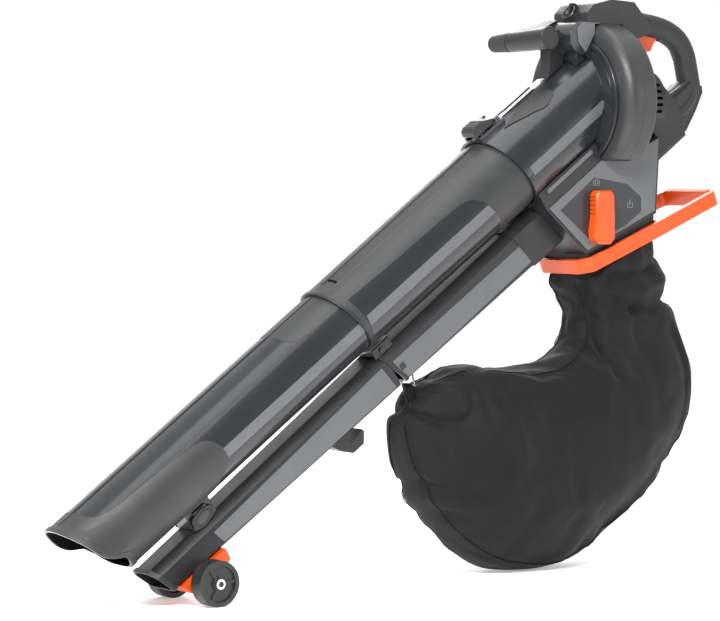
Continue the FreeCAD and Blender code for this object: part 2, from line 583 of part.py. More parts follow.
def yoke_and_front_handle():
    limits = machine_limits()
    saddle = prism([(724, 800), (724, 867), (741.7, 867), (741.7, 800)], -36, 36)
    barrel = rod_y(-42, 42, 27.0, 733, 867)
    arch = join([saddle, barrel]).common(block(700, 741.7, -60, 60, 790, 900))
    for other in limits:
        arch = arch.cut(other)
    add("yoke", arch)
    inserts = []
    for side in (-1, 1):
        y0, y1 = sorted((side * 42.0, side * 44.0))
        insert = prism([(768, 892), (730, 892), (720, 882), (722, 860), (738, 843), (752, 866)], y0, y1)
        for other in limits:
            insert = insert.cut(other)
        inserts.append(insert)
    add("spine_inserts", Part.makeCompound(inserts))

    near, far = V(671, -30, 865), V(666, 60, 861)
    along = (far - near).normalize()
    bar = Part.makeCone(18.0, 16.5, (far - near).Length, near, along)
    stem = prism([(676, 780), (684, 806), (688, 820), (687, 866), (694, 878), (712, 880), (716, 862),
                  (716, 826), (723.7, 812), (723.7, 780)], -12, 12)
    neck = prism([(670, 852), (670, 876), (690, 878), (690, 850)], -12, 12)
    web = plate([(672, 12.5), (668, 88), (690, 88), (739, 30), (739, 12.5)], 0, 9)
    web.rotate(V(672, 0, 0), V(0, 1, 0), -26)
    web.translate(V(0, 0, 862))
    tip_seat = Part.makeCone(16.7, 13.6, 50, far - along * 2.0, along)
    body = join([bar, stem, neck, web]).cut(tip_seat)
    keep = prism([(600, 700), (600, 1000), (723.7, 1000), (723.7, 700)], -100, 150)
    body = body.common(keep)
    for other in limits + [arch]:
        body = body.cut(other)
    body = body.cut(tilted(block(-40, 125, -3.2, 3.2, 60, DUCT_R + 2.2)))
    add("front_handle", body)
    sleeve = Part.makeCone(16.5, 13.4, 46, far, along)
    sleeve = sleeve.makeFillet(5.0, [end_circle(sleeve, far + along * 46)])
    add("front_handle_tip", sleeve.cut(body))
    cap = Part.makeCylinder(19.0, 4.0, near - along * 4.0, along)
    add("front_handle_cap", cap)


def end_circle(shape, centre):
    """The round edge of a shape whose middle lies nearest a point."""
    rings = [line for line in shape.Edges if isinstance(line.Curve, Part.Circle)]
    return min(rings, key=lambda line: (line.Curve.Center - centre).Length)


def harness_point():
    """Lug moulded on the spine and the steel ring that hangs forward from it."""
    lug = prism([(741, 904), (738, 914), (741, 925), (750, 925), (758, 920), (752, 912)], -2.5, 2.5)
    lug = lug.cut(rod_y(-10, 10, 2.6, HARNESS.x, HARNESS.z))
    PARTS["spine_cover"] = join([PARTS["spine_cover"], lug])
    ring = Part.makeTorus(12.0, 2.0, HARNESS + V(-11.9, 0, 0), V(0, 0, 1))
    ring.rotate(HARNESS, V(0, 1, 0), -RING_HANG)
    add("harness_ring", ring)


# ---- bag frame, bag and its ring ----
def on_frame(shape):
    """Place a piece drawn flat, X back from the frame's front bar, on the frame's slope."""
    moved = shape.copy()
    moved.rotate(V(0, 0, 0), V(0, 1, 0), -FRAME_SLOPE)
    moved.translate(FRAME_FRONT)
    return moved


def rounded_loop(outline, radius, z0, z1):
    """Flat prism whose corners are rounded about Z."""
    solid = plate(outline, z0, z1)
    corners = []
    for line in solid.Edges:
        box = line.BoundBox
        if box.ZLength > 0.9 * (z1 - z0):
            corners.append(line)
    return solid.makeFillet(radius, corners)


def bag_frame():
    outer = [(0, -46), (14, -69), (178, -70), (312, -66), (312, 66), (178, 70), (14, 69), (0, 46)]
    inner = [(7, -42), (18, -62), (176, -63), (176, 63), (18, 62), (7, 42)]
    loop = [(190, -60), (300, -56), (300, 56), (190, 60)]
    ring = rounded_loop(outer, 8.0, -12, 12)
    ring = ring.cut(rounded_loop(inner, 4.0, -20, 20)).cut(rounded_loop(loop, 9.0, -20, 20))
    ribs = []
    for step in range(15):
        rib = block(299, 313, -51 + 7 * step, -47 + 7 * step, 8, 16)
        ribs.append(rib)
    band = rounded_loop(outer, 8.0, 11, 14).cut(rounded_loop(loop, 9.0, -20, 20)).common(
        ribs[0].multiFuse(ribs[1:]))
    ring = join([ring, band])
    ring = on_frame(ring)
    ears = []
    for side in (-1, 1):
        y0, y1 = sorted((side * 9.0, side * 12.0))
        ears.append(prism([(890, 556), (911, 565), (911, 578), (890, 574)], y0, y1))
    pin_hole = rod_y(-20, 20, 2.0, BAG_LATCH.x, BAG_LATCH.z)
    add("bag_frame", join([ring] + ears).cut(pin_hole))
    boss = rod_y(-8.5, 8.5, 5.5, BAG_LATCH.x, BAG_LATCH.z)
    lever = prism([(900, 574), (889, 600), (888.5, 603.5), (879, 606.8), (879, 610.5), (893, 611),
                   (909, 576), (928, 549), (920, 547), (902, 568)], -8.5, 8.5)
    lever = join([boss, lever]).cut(rod_y(-20, 20, 2.05, BAG_LATCH.x, BAG_LATCH.z))
    add("bag_latch", lever)
    return rod_y(-11.9, 11.9, 2.0, BAG_LATCH.x, BAG_LATCH.z)


BAG_SECTIONS = [
    ((725.5, 480.9), (896.5, 548.3), 68), ((720, 462), (906, 517), 67), ((730, 438), (920, 478), 64),
    ((738, 410), (934, 432), 62), ((738, 384), (962, 378), 74), ((730, 360), (984, 306), 88),
    ((714, 347), (970, 226), 98), ((692, 340), (896, 132), 104), ((665, 336), (800, 62), 106),
    ((635, 333), (722, 13), 106), ((600, 332), (640, 0.0), 106), ((562, 334), (538, 17), 102),
    ((527, 338), (444, 84), 92), ((492, 334), (395, 163), 74), ((456, 320), (381, 236), 48),
    ((430, 302), (392, 276), 20)]
BAG_NECK = 400.0                 # height where the neck is sewn to the body of the bag


def bag_wire(inner_point, outer_point, half_y, inset):
    """Rounded section of the bag across the line between two points of its outline."""
    a, b = V(inner_point[0], 0, inner_point[1]), V(outer_point[0], 0, outer_point[1])
    middle, reach = (a + b) * 0.5, (b - a).Length / 2 - inset
    along = (b - a).normalize()
    points = []
    for step in range(20):
        turn = 2 * math.pi * step / 20 + math.pi / 2
        c, s = math.cos(turn), math.sin(turn)
        along_part = math.copysign(abs(c) ** 0.88, c) * reach
        side_part = math.copysign(abs(s) ** 0.88, s) * (half_y - inset)
        points.append(middle + along * along_part + V(0, side_part, 0))
    curve = Part.BSplineCurve()
    curve.interpolate(points + points[:1])
    return Part.Wire(curve.toShape())


def bag():
    outer = Part.makeLoft([bag_wire(a, b, y, 0.0) for a, b, y in BAG_SECTIONS], True, True)
    mouth_a, mouth_b, mouth_y = BAG_SECTIONS[0]
    above = ((mouth_a[0] - 2, mouth_a[1] + 5), (mouth_b[0] - 2, mouth_b[1] + 5), mouth_y)
    inside = [above] + BAG_SECTIONS[:-1]
    inner = Part.makeLoft([bag_wire(a, b, y, BAG_CLOTH) for a, b, y in inside], True, True)
    shell = outer.cut(inner)
    add("bag_neck", shell.common(block(300, 1100, -150, 150, BAG_NECK, 700)))
    add("bag_left", shell.common(block(300, 1100, -150, 0, -50, BAG_NECK)))
    add("bag_right", shell.common(block(300, 1100, 0, 150, -50, BAG_NECK)))
    eye = tilted_point(-349, 0, blow_bottom(-356) - 3.2)
    bar = V(eye.x + 2.0, 0, 311.0)
    corners = [V(eye.x, -12, eye.z), V(eye.x, 12, eye.z), V(bar.x, 17, bar.z), V(bar.x, -17, bar.z)]
    add("bag_ring", wire_loop(corners + corners[:1], 1.5))
    hem = rod_y(-13.5, 13.5, 3.6, bar.x, bar.z)
    strap = block(bar.x - 1.5, bar.x + 1.5, -13.5, 13.5, 280, bar.z)
    tab = join([hem, strap]).cut(rod_y(-20, 20, 1.5, bar.x, bar.z)).cut(outer)
    add("bag_tab", tab)


def wire_loop(points, r):
    """Round wire bent through corner points, as joined rods with ball corners."""
    pieces = []
    for first, second in zip(points, points[1:]):
        pieces.append(Part.makeCylinder(r, (second - first).Length, first, (second - first)))
    for corner in points[1:]:
        pieces.append(Part.makeSphere(r, corner))
    return join(pieces)


def housing_screws():
    """Screws that close the diverter box and the rear housing from the right."""
    box_face, bay_face = BOX_HALF + 2.2, 46.0
    places = [(668, 598, box_face), (742, 644, box_face), (742, 536, box_face), (860, 590, box_face),
              (864, 688, box_face), (834, 702, bay_face), (852, 707, bay_face)]
    for x, z, face in places:
        shank = rod_y(face - 11, face, 1.9, x, z)
        head = rod_y(face, face + 2.2, 4.0, x, z)
        socket = rod_y(face + 0.8, face + 3, 1.8, x, z)
        SCREWS.append(join([shank, head]).cut(socket))
        for name in ("side_panel_right", "diverter_box_right", "rear_housing_right"):
            PARTS[name] = PARTS[name].cut(rod_y(face - 11.5, face, 1.9, x, z))


suction_tubes()
blow_tubes()
tube_fittings()
wheels()
intake_duct()
pins = [tube_latch()]
scroll()
drive()
diverter_box()
side_panels()
selector()
pins.append(spine_and_handle(rear_housing()))
yoke_and_front_handle()
harness_point()
pins.append(bag_frame())
bag()
add("pivot_pins", Part.makeCompound(pins))
housing_screws()
add("screws", Part.makeCompound(SCREWS))

whole = Part.makeCompound(list(PARTS.values()))
print("box", whole.BoundBox)
for name, shape in PARTS.items():
    shape.translate(V(-CENTRE_X, 0, 0))
    if not shape.isValid() or not shape.Solids:
        print("bad shape", name, shape.isValid(), len(shape.Solids))
    shape.exportStep("parts/" + name + ".step")
print(len(PARTS), "nodes")
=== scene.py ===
import json
import math

import bmesh
import bpy
import numpy as np
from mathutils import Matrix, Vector


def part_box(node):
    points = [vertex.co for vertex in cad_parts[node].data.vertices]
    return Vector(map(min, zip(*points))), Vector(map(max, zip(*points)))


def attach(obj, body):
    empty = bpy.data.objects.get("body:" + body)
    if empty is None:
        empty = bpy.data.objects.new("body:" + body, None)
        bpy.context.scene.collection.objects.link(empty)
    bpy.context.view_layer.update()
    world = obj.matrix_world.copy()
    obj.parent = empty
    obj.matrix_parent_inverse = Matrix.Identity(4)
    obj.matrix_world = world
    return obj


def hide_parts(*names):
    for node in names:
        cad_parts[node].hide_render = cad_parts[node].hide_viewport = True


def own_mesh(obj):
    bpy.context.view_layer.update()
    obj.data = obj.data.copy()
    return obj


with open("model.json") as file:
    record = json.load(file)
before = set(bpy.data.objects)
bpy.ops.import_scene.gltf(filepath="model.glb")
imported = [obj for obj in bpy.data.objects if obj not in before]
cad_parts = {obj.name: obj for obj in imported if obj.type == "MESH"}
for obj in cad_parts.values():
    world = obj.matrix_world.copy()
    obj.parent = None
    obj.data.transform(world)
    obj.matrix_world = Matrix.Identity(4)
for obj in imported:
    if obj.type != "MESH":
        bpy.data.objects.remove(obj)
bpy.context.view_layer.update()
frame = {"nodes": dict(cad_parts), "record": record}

# ---- the machine's own frames: millimetres, X back from the wheel axle, Z up ----
MM = 0.001
WHEEL_LOW, WHEEL_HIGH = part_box("wheel_left")
WHEEL_SHIFT = 0.00002       # metres from the middle of the wheel's box back to X = 0
ORIGIN_X = (WHEEL_LOW.x + WHEEL_HIGH.x) / 2 + WHEEL_SHIFT
WHEEL_Z = (WHEEL_LOW.z + WHEEL_HIGH.z) / 2 / MM
TILT = math.radians(35.4)   # of the suction tube, over the floor
COLLAR_X, COLLAR_Z = 605.9, 654.0
NOZZLE_R, DUCT_R = 61.5, 73.0


def at(x, y, z):
    """Row-frame point, in metres, of a point of the level frame."""
    return Vector((ORIGIN_X + x * MM, y * MM, z * MM))


def tube_at(u, y, w):
    """The same for the suction tube's own frame: u along the axis, w across it, upwards."""
    c, s = math.cos(TILT), math.sin(TILT)
    return at(COLLAR_X + u * c - w * s, y, COLLAR_Z + u * s + w * c)


def level(point):
    """Level-frame millimetres of a row-frame point."""
    return (point.x - ORIGIN_X) / MM, point.y / MM, point.z / MM


def upper_radius(u):
    """Outer radius of the upper suction tube, which widens by 3.7 mm over its 480 mm."""
    return 65.0 + 3.7 * (u + 440.0) / 480.0


def radius_at(radius, u):
    """The radius at u of a tube whose radius is given as a number or as a function of u."""
    return radius(u) if callable(radius) else radius


# ---- materials ----
PLASTIC_EDGE, METAL_EDGE, RUBBER_EDGE = 0.0007, 0.0004, 0.0008      # metres, of the rounded highlights


def new_material(name):
    """A material, its node tree, its shader and its object coordinates."""
    mat = bpy.data.materials.new(name)
    mat.use_nodes = True
    tree = mat.node_tree
    shader = tree.nodes["Principled BSDF"]
    coords = tree.nodes.new("ShaderNodeTexCoord")
    return mat, tree, shader, coords.outputs["Object"]


def noise(tree, coords, scale, detail, rough=0.6):
    node = tree.nodes.new("ShaderNodeTexNoise")
    node.inputs["Scale"].default_value = scale
    node.inputs["Detail"].default_value = detail
    node.inputs["Roughness"].default_value = rough
    tree.links.new(coords, node.inputs["Vector"])
    return node.outputs["Fac"]


def ramp(tree, value, low, high, a, b):
    """Map value from low..high to a..b, clamped."""
    node = tree.nodes.new("ShaderNodeMapRange")
    node.inputs["From Min"].default_value = low
    node.inputs["From Max"].default_value = high
    node.inputs["To Min"].default_value = a
    node.inputs["To Max"].default_value = b
    tree.links.new(value, node.inputs["Value"])
    return node.outputs["Result"]


def mix_color(tree, factor, a, b):
    """Mix two colours, each a tuple or a socket, by a socket."""
    node = tree.nodes.new("ShaderNodeMix")
    node.data_type = "RGBA"
    for socket, value in ((node.inputs[6], a), (node.inputs[7], b)):
        if isinstance(value, bpy.types.NodeSocket):
            tree.links.new(value, socket)
        else:
            socket.default_value = (*value, 1.0)
    tree.links.new(factor, node.inputs[0])
    return node.outputs[2]


def bump(tree, height, strength, distance, normal=None):
    node = tree.nodes.new("ShaderNodeBump")
    node.inputs["Strength"].default_value = strength
    node.inputs["Distance"].default_value = distance
    tree.links.new(height, node.inputs["Height"])
    if normal is not None:
        tree.links.new(normal, node.inputs["Normal"])
    return node.outputs["Normal"]


def rounded_normal(tree, radius):
    """Surface normal as if the edges were rounded to a radius in metres."""
    bevel = tree.nodes.new("ShaderNodeBevel")
    bevel.samples = 4
    bevel.inputs["Radius"].default_value = radius
    return bevel.outputs["Normal"]


def edge_mask(tree, rounded):
    """1 along convex and concave edges, 0 on the faces, from the rounded normal."""
    geometry = tree.nodes.new("ShaderNodeNewGeometry")
    dot = tree.nodes.new("ShaderNodeVectorMath")
    dot.operation = "DOT_PRODUCT"
    tree.links.new(rounded, dot.inputs[0])
    tree.links.new(geometry.outputs["Normal"], dot.inputs[1])
    return ramp(tree, dot.outputs["Value"], 0.995, 0.86, 0.0, 1.0)


def shaded(color, factor):
    """A colour made darker or lighter."""
    return tuple(min(1.0, c * factor) for c in color)


def multiply(tree, a, b):
    node = tree.nodes.new("ShaderNodeMath")
    node.operation = "MULTIPLY"
    tree.links.new(a, node.inputs[0])
    tree.links.new(b, node.inputs[1])
    return node.outputs[0]


def plastic(name, color, rough, grain=0.25, variation=0.12, wear_and_highlight=0.25, coat=0.0, grain_size=1400.0,
            spread=0.06):
    """Moulded plastic: cloudy colour, spark-eroded grain, edges paler in patches as rubbed wear and as
    painted highlight.
    """
    mat, tree, shader, coords = new_material(name)
    cloud = ramp(tree, noise(tree, coords, 14.0, 4.0), 0.3, 0.7, 0.0, 1.0)
    base = mix_color(tree, cloud, shaded(color, 1 - variation), shaded(color, 1 + variation))
    rounded = rounded_normal(tree, PLASTIC_EDGE)
    # edges painted paler in patches: partly rubbed wear, partly a painted highlight along them
    edge_patches = ramp(tree, noise(tree, coords, 90.0, 5.0, 0.7), 0.35, 0.75, 0.0, wear_and_highlight)
    rubbed_and_highlit = multiply(tree, edge_mask(tree, rounded), edge_patches)
    pale = tuple(min(1.0, c * 1.6 + 0.06) for c in color)
    tree.links.new(mix_color(tree, rubbed_and_highlit, base, pale), shader.inputs["Base Color"])
    patchy = ramp(tree, noise(tree, coords, 45.0, 4.0), 0.3, 0.7, rough - spread, rough + spread)
    tree.links.new(patchy, shader.inputs["Roughness"])
    fine = noise(tree, coords, grain_size, 2.0)
    tree.links.new(bump(tree, fine, grain, 0.00025, rounded), shader.inputs["Normal"])
    shader.inputs["Specular IOR Level"].default_value = 0.5
    shader.inputs["Coat Weight"].default_value = coat
    shader.inputs["Coat Roughness"].default_value = 0.12
    return mat


def metal(name, color, rough):
    """Brushed metal, dulled in patches."""
    mat, tree, shader, coords = new_material(name)
    stretch = tree.nodes.new("ShaderNodeMapping")
    stretch.inputs["Scale"].default_value = (6.0, 1.0, 1.0)
    tree.links.new(coords, stretch.inputs["Vector"])
    lines = noise(tree, stretch.outputs["Vector"], 700.0, 3.0)
    dull = ramp(tree, noise(tree, coords, 60.0, 4.0), 0.3, 0.7, 0.0, 1.0)
    tree.links.new(mix_color(tree, dull, shaded(color, 0.8), color), shader.inputs["Base Color"])
    tree.links.new(ramp(tree, lines, 0.3, 0.7, rough * 0.7, rough * 1.3), shader.inputs["Roughness"])
    brushed = bump(tree, lines, 0.3, 0.00008, rounded_normal(tree, METAL_EDGE))
    tree.links.new(brushed, shader.inputs["Normal"])
    shader.inputs["Metallic"].default_value = 1.0
    return mat


def fabric(name, color):
    """Coated woven polyester: crossed threads, slight sheen, dusty variation."""
    mat, tree, shader, coords = new_material(name)
    threads = []
    for axis in ("X", "Z"):
        wave = tree.nodes.new("ShaderNodeTexWave")
        wave.wave_type = "BANDS"
        wave.bands_direction = axis
        wave.inputs["Scale"].default_value = 340.0
        wave.inputs["Distortion"].default_value = 1.2
        wave.inputs["Detail"].default_value = 1.0
        wave.inputs["Detail Scale"].default_value = 2.0
        tree.links.new(coords, wave.inputs["Vector"])
        threads.append(wave.outputs["Fac"])
    weave = multiply(tree, *threads)
    cloud = ramp(tree, noise(tree, coords, 9.0, 5.0), 0.3, 0.7, 0.0, 1.0)
    lint = noise(tree, coords, 420.0, 3.0)
    base = mix_color(tree, cloud, shaded(color, 0.75), shaded(color, 1.25))
    base = mix_color(tree, ramp(tree, weave, 0.0, 1.0, 0.0, 0.35), base, shaded(color, 1.9))
    base = mix_color(tree, ramp(tree, lint, 0.55, 0.8, 0.0, 0.25), base, shaded(color, 2.4))
    tree.links.new(base, shader.inputs["Base Color"])
    crumple = noise(tree, coords, 38.0, 5.0, 0.62)
    creased = bump(tree, crumple, 0.35, 0.0022)
    tree.links.new(bump(tree, weave, 0.5, 0.00035, creased), shader.inputs["Normal"])
    tree.links.new(ramp(tree, lint, 0.3, 0.7, 0.62, 0.8), shader.inputs["Roughness"])
    shader.inputs["Sheen Weight"].default_value = 0.05
    shader.inputs["Sheen Roughness"].default_value = 0.4
    shader.inputs["Specular IOR Level"].default_value = 0.24
    return mat


def rubber(name, color):
    """Soft-touch rubber with a pebbled skin."""
    mat, tree, shader, coords = new_material(name)
    cloud = noise(tree, coords, 30.0, 4.0)
    base = mix_color(tree, ramp(tree, cloud, 0.3, 0.7, 0.0, 1.0), shaded(color, 0.8), shaded(color, 1.3))
    tree.links.new(base, shader.inputs["Base Color"])
    pebble = tree.nodes.new("ShaderNodeTexVoronoi")
    pebble.inputs["Scale"].default_value = 900.0
    tree.links.new(coords, pebble.inputs["Vector"])
    skin_bump = bump(tree, pebble.outputs["Distance"], 0.35, 0.0003, rounded_normal(tree, RUBBER_EDGE))
    tree.links.new(skin_bump, shader.inputs["Normal"])
    tree.links.new(ramp(tree, cloud, 0.3, 0.7, 0.5, 0.68), shader.inputs["Roughness"])
    return mat


GREY = plastic("shell_grey", (0.036, 0.0368, 0.0378), 0.40, grain=0.35)
BLACK = plastic("shell_black", (0.019, 0.0197, 0.0212), 0.38, grain=0.3)
GLOSS = plastic("shell_gloss", (0.020, 0.0212, 0.0242), 0.23, grain=0.004, coat=0.3, spread=0.02, wear_and_highlight=0.15,
                grain_size=900.0)
LIGHT = plastic("trim_light", (0.118, 0.121, 0.127), 0.40, grain=0.3, variation=0.06, wear_and_highlight=0.12)
ORANGE = plastic("accent_orange", (0.72, 0.080, 0.003), 0.32, grain=0.12, variation=0.08, wear_and_highlight=0.14,
                 coat=0.05)
DARK = plastic("shell_dark", (0.0155, 0.016, 0.017), 0.36, grain=0.35)
CUFF = plastic("cuff_grey", (0.034, 0.0345, 0.035), 0.46, grain=0.45)
PANEL = plastic("panel_dark", (0.030, 0.0315, 0.0345), 0.36, grain=0.3)
INK = plastic("icon_grey", (0.16, 0.165, 0.17), 0.5, grain=0.05)
RUBBER = rubber("grip_rubber", (0.020, 0.0205, 0.021))
CLOTH = fabric("bag_fabric", (0.0074, 0.0075, 0.0078))
PIPING = fabric("bag_piping", (0.004, 0.004, 0.0043))
STEEL = metal("steel", (0.52, 0.52, 0.53), 0.32)
BRIGHT = metal("steel_bright", (0.75, 0.75, 0.76), 0.18)
GUNMETAL = metal("steel_dark", (0.10, 0.10, 0.105), 0.35)
FAN = metal("fan_metal", (0.62, 0.63, 0.65), 0.4)
COPPER = metal("copper", (0.62, 0.33, 0.16), 0.45)
BOARD = plastic("board_green", (0.03, 0.16, 0.07), 0.4)
# near-black rubber that barely reflects: painted shade inside the nozzle and in the tube's top slot
HOLLOW_SHADE = rubber("painted_shade_black", (0.0035, 0.0036, 0.0038))
HOLLOW_SHADE.node_tree.nodes["Principled BSDF"].inputs["Specular IOR Level"].default_value = 0.06
SLOT_MATERIAL = {"shell_black": BLACK, "shell_gloss": GLOSS, "shell_grey": GREY, "trim_light": LIGHT,
                 "accent_orange": ORANGE, "grip_rubber": RUBBER, "bag_fabric": CLOTH, "steel": STEEL,
                 "steel_bright": BRIGHT, "fan_metal": FAN, "board_green": BOARD, "copper": COPPER}
NODE_SLOT = {entry["node"]: entry["material_slot"] for entry in frame["record"]["subparts"]}
# nodes whose finish differs from their slot's
NODE_FINISH = {"harness_ring": GUNMETAL, "pivot_pins": GUNMETAL, "diverter_flap": BLACK}
BODIES = frame["record"]["behaviour"]["bodies"]
NODE_BODY = {node: body for body, members in BODIES.items() for node in members}


# ---- making pieces ----
def place(name, mesh, material, body="machine"):
    """Link a mesh as a named piece that rides on a body."""
    mesh.materials.clear()
    mesh.materials.append(material)
    piece = bpy.data.objects.new(name, mesh)
    bpy.context.scene.collection.objects.link(piece)
    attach(piece, body)
    return piece


def smooth_faces(piece):
    """Shade every face as part of a curved surface."""
    for face in piece.data.polygons:
        face.use_smooth = True


def subdivide(piece):
    """Split each face in four and round the form."""
    mod = piece.modifiers.new("finer", "SUBSURF")
    mod.levels = 1
    mod.render_levels = 1


def round_edges(piece, width, angle=32.0):
    """Bevelled edges and clean shading, in millimetres and degrees."""
    mod = piece.modifiers.new("edges", "BEVEL")
    mod.width = width * MM
    mod.segments = 2
    mod.limit_method = "ANGLE"
    mod.angle_limit = math.radians(angle)
    mod.use_clamp_overlap = True
    mod.harden_normals = True
    smooth_faces(piece)
    piece.data.set_sharp_from_angle(angle=math.radians(angle))
    return piece


WELD = 0.000004                         # metres
FLAT = math.radians(0.8)


def skin(node, width, material):
    """A copy of a CAD node with rounded edges, which stands for the node."""
    mesh = frame["nodes"][node].data.copy()
    work = bmesh.new()
    work.from_mesh(mesh)
    bmesh.ops.remove_doubles(work, verts=work.verts, dist=WELD)
    bmesh.ops.dissolve_limit(work, angle_limit=FLAT, verts=work.verts, edges=work.edges)
    work.to_mesh(mesh)
    work.free()
    piece = place(node + "_skin", mesh, material, NODE_BODY[node])
    round_edges(piece, width)
    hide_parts(node)


def rounded_outline(corners, radius, parts=5):
    """Closed outline with each corner turned by a curve of about that radius, in so many parts."""
    result = []
    count = len(corners)
    for i in range(count):
        before, here, after = Vector(corners[i - 1]), Vector(corners[i]), Vector(corners[(i + 1) % count])
        back = min(radius, (before - here).length * 0.45)
        fore = min(radius, (after - here).length * 0.45)
        start = here + (before - here).normalized() * back
        end = here + (after - here).normalized() * fore
        for step in range(parts + 1):
            t = step / parts
            result.append(start * (1 - t) ** 2 + here * 2 * t * (1 - t) + end * t * t)
    return result


def mesh_from(work, name):
    """A mesh with outward faces from a bmesh, which is freed."""
    mesh = bpy.data.meshes.new(name)
    bmesh.ops.recalc_face_normals(work, faces=work.faces)
    work.to_mesh(mesh)
    work.free()
    return mesh


def slab(name, outline, map_point, thick0, thick1, material, width, body="machine", cut=0.0):
    """Plate over an outline of (a, b) points; map_point(a, b, height) gives its place.

    A cut splits the plate that often along b, so that it can follow a curved surface."""
    work = bmesh.new()
    loop = [work.verts.new((p[0], p[1], 0.0)) for p in outline]
    work.faces.new(loop)
    if cut:
        low = min(p[1] for p in outline)
        high = max(p[1] for p in outline)
        b = math.ceil(low / cut) * cut
        while b < high:
            bmesh.ops.bisect_plane(work, geom=work.verts[:] + work.edges[:] + work.faces[:],
                                   plane_co=(0, b, 0), plane_no=(0, 1, 0))
            b += cut
    made = bmesh.ops.extrude_face_region(work, geom=work.faces[:])
    raised = [v for v in made["geom"] if isinstance(v, bmesh.types.BMVert)]
    for v in raised:
        v.co.z = 1.0
    for v in work.verts:
        v.co = map_point(v.co.x, v.co.y, thick1 if v.co.z > 0.5 else thick0)
    round_edges(place(name, mesh_from(work, name), material, body), width)


def on_tube(radius, u, phi, height):
    """Point at an angle of phi degrees from the top, to the left, and at a height over a round tube."""
    r = radius_at(radius, u) + height
    turn = math.radians(phi)
    return tube_at(u, -r * math.sin(turn), r * math.cos(turn))


def edge_u(points, w):
    """Where an edge of a zone, given as (w, u) pairs, lies at w."""
    return float(np.interp(w, [p[0] for p in points], [p[1] for p in points]))


SUNK = -0.6                             # height of a zone's rim, inside the tube's wall
LIP_LENGTH, LIP_SLOPE = 9.7, 2.5        # flat top of a lip, and its slope down to the skin behind it
LIP_INSET = 0.3
LEAST_ZONE = 0.2                        # least length of a zone
MIDDLE_U = -200.0                       # where a tube's radius is taken for the heights of its edges


def wrap_zone(name, radius, starts, ends, thick, material, angles, slot=None, lip=0.0, rows=1):
    """Raised skin round a tube between two edges.

    starts and ends are (w, u) pairs in rising w; angles run from the top, positive to the left.
    A lip is the height of a rim along the first edge, and rows is how many strips the rest has."""
    work = bmesh.new()
    loops = []
    middle_radius = radius_at(radius, MIDDLE_U)
    for phi in angles:
        w = middle_radius * math.cos(math.radians(phi))
        u0 = edge_u(starts, w)
        u1 = max(edge_u(ends, w), u0 + LEAST_ZONE)
        if lip:
            lip_start = u0 + LIP_INSET
            lip_end = lip_start + LIP_LENGTH
            first = lip_end + LIP_SLOPE
            profile = [(lip_start, SUNK), (lip_start, lip), (lip_end, lip), (first, thick)]
        else:
            first = u0
            profile = [(u0, SUNK), (u0, thick)]
        profile += [(first + (u1 - first) * row / rows, thick) for row in range(1, rows + 1)]
        profile.append((u1, SUNK))
        loops.append([work.verts.new(on_tube(radius, u, phi, height)) for u, height in profile])
    closed = abs((angles[-1] - angles[0]) - 360.0) < 0.01
    if closed:
        for v in loops[-1]:
            work.verts.remove(v)
        loops[-1] = loops[0]
    count = len(loops[0])
    for first_ring, second in zip(loops, loops[1:]):
        for i in range(count):
            j = (i + 1) % count
            work.faces.new((first_ring[i], first_ring[j], second[j], second[i]))
    if not closed:
        work.faces.new(loops[0])
        work.faces.new(list(reversed(loops[-1])))
    round_edges(place(name, mesh_from(work, name), material), 0.2, angle=40.0)


def both_sides(name, *args, angles, **words):
    """A zone on the left, and its mirror image on the right."""
    wrap_zone(name + "_left", *args, angles=angles, **words)
    wrap_zone(name + "_right", *args, angles=[-a for a in reversed(angles)], **words)


def steps(start, stop, count):
    """Numbers from start to stop in even steps."""
    return [start + (stop - start) * i / count for i in range(count + 1)]


def full_turn(count):
    """Angles all the way round."""
    return steps(-180, 180, count)


# ---- every CAD node gets its finish; the inner parts keep their CAD mesh ----
for node_name, node_object in frame["nodes"].items():
    finish_material = NODE_FINISH.get(node_name, SLOT_MATERIAL[NODE_SLOT[node_name]])
    if not node_object.material_slots:
        node_object.data.materials.append(finish_material)
    for material_slot in node_object.material_slots:
        material_slot.material = finish_material

# node, edge width in mm and finish of each outer part
SKINS = [
    ("suction_tube_lower", 0.35, GLOSS), ("suction_tube_upper", 0.35, GREY), ("intake_duct", 0.5, GLOSS),
    ("blow_tube_lower", 0.5, BLACK), ("blow_tube_upper", 0.5, BLACK), ("scroll_front", 0.8, GREY),
    ("scroll_rear", 0.8, GREY), ("diverter_box_left", 0.8, BLACK), ("diverter_box_right", 0.8, BLACK),
    ("side_panel_left", 0.5, LIGHT), ("side_panel_right", 0.5, LIGHT), ("selector_panel", 0.3, PANEL),
    ("selector_knob", 0.35, ORANGE), ("bag_frame", 1.2, ORANGE), ("bag_latch", 1.0, ORANGE),
    ("front_handle", 1.6, DARK), ("front_handle_tip", 0.8, RUBBER), ("front_handle_cap", 1.6, DARK),
    ("yoke", 2.0, GLOSS), ("spine_cover", 2.5, DARK), ("spine_inserts", 0.8, LIGHT),
    ("rear_handle_left", 0.8, DARK), ("rear_handle_right", 0.8, DARK), ("grip_overmould", 0.5, RUBBER),
    ("rear_housing_left", 1.2, DARK), ("rear_housing_right", 1.2, DARK), ("trigger", 1.2, ORANGE),
    ("tube_latch", 1.2, BLACK), ("tube_clip_front", 0.8, GLOSS), ("tube_clip_middle", 0.8, GLOSS),
    ("storage_hook", 1.0, BLACK), ("wheel_bracket", 0.8, ORANGE), ("wheel_left", 0.8, BLACK),
    ("wheel_right", 0.8, BLACK), ("axle_caps", 0.5, BRIGHT), ("shoulder_trims", 0.5, LIGHT),
    ("screws", 0.4, GUNMETAL), ("battery_pack", 1.0, BLACK), ("bay_floor", 0.5, GREY),
]
for node_name, width, finish in SKINS:
    skin(node_name, width, finish)

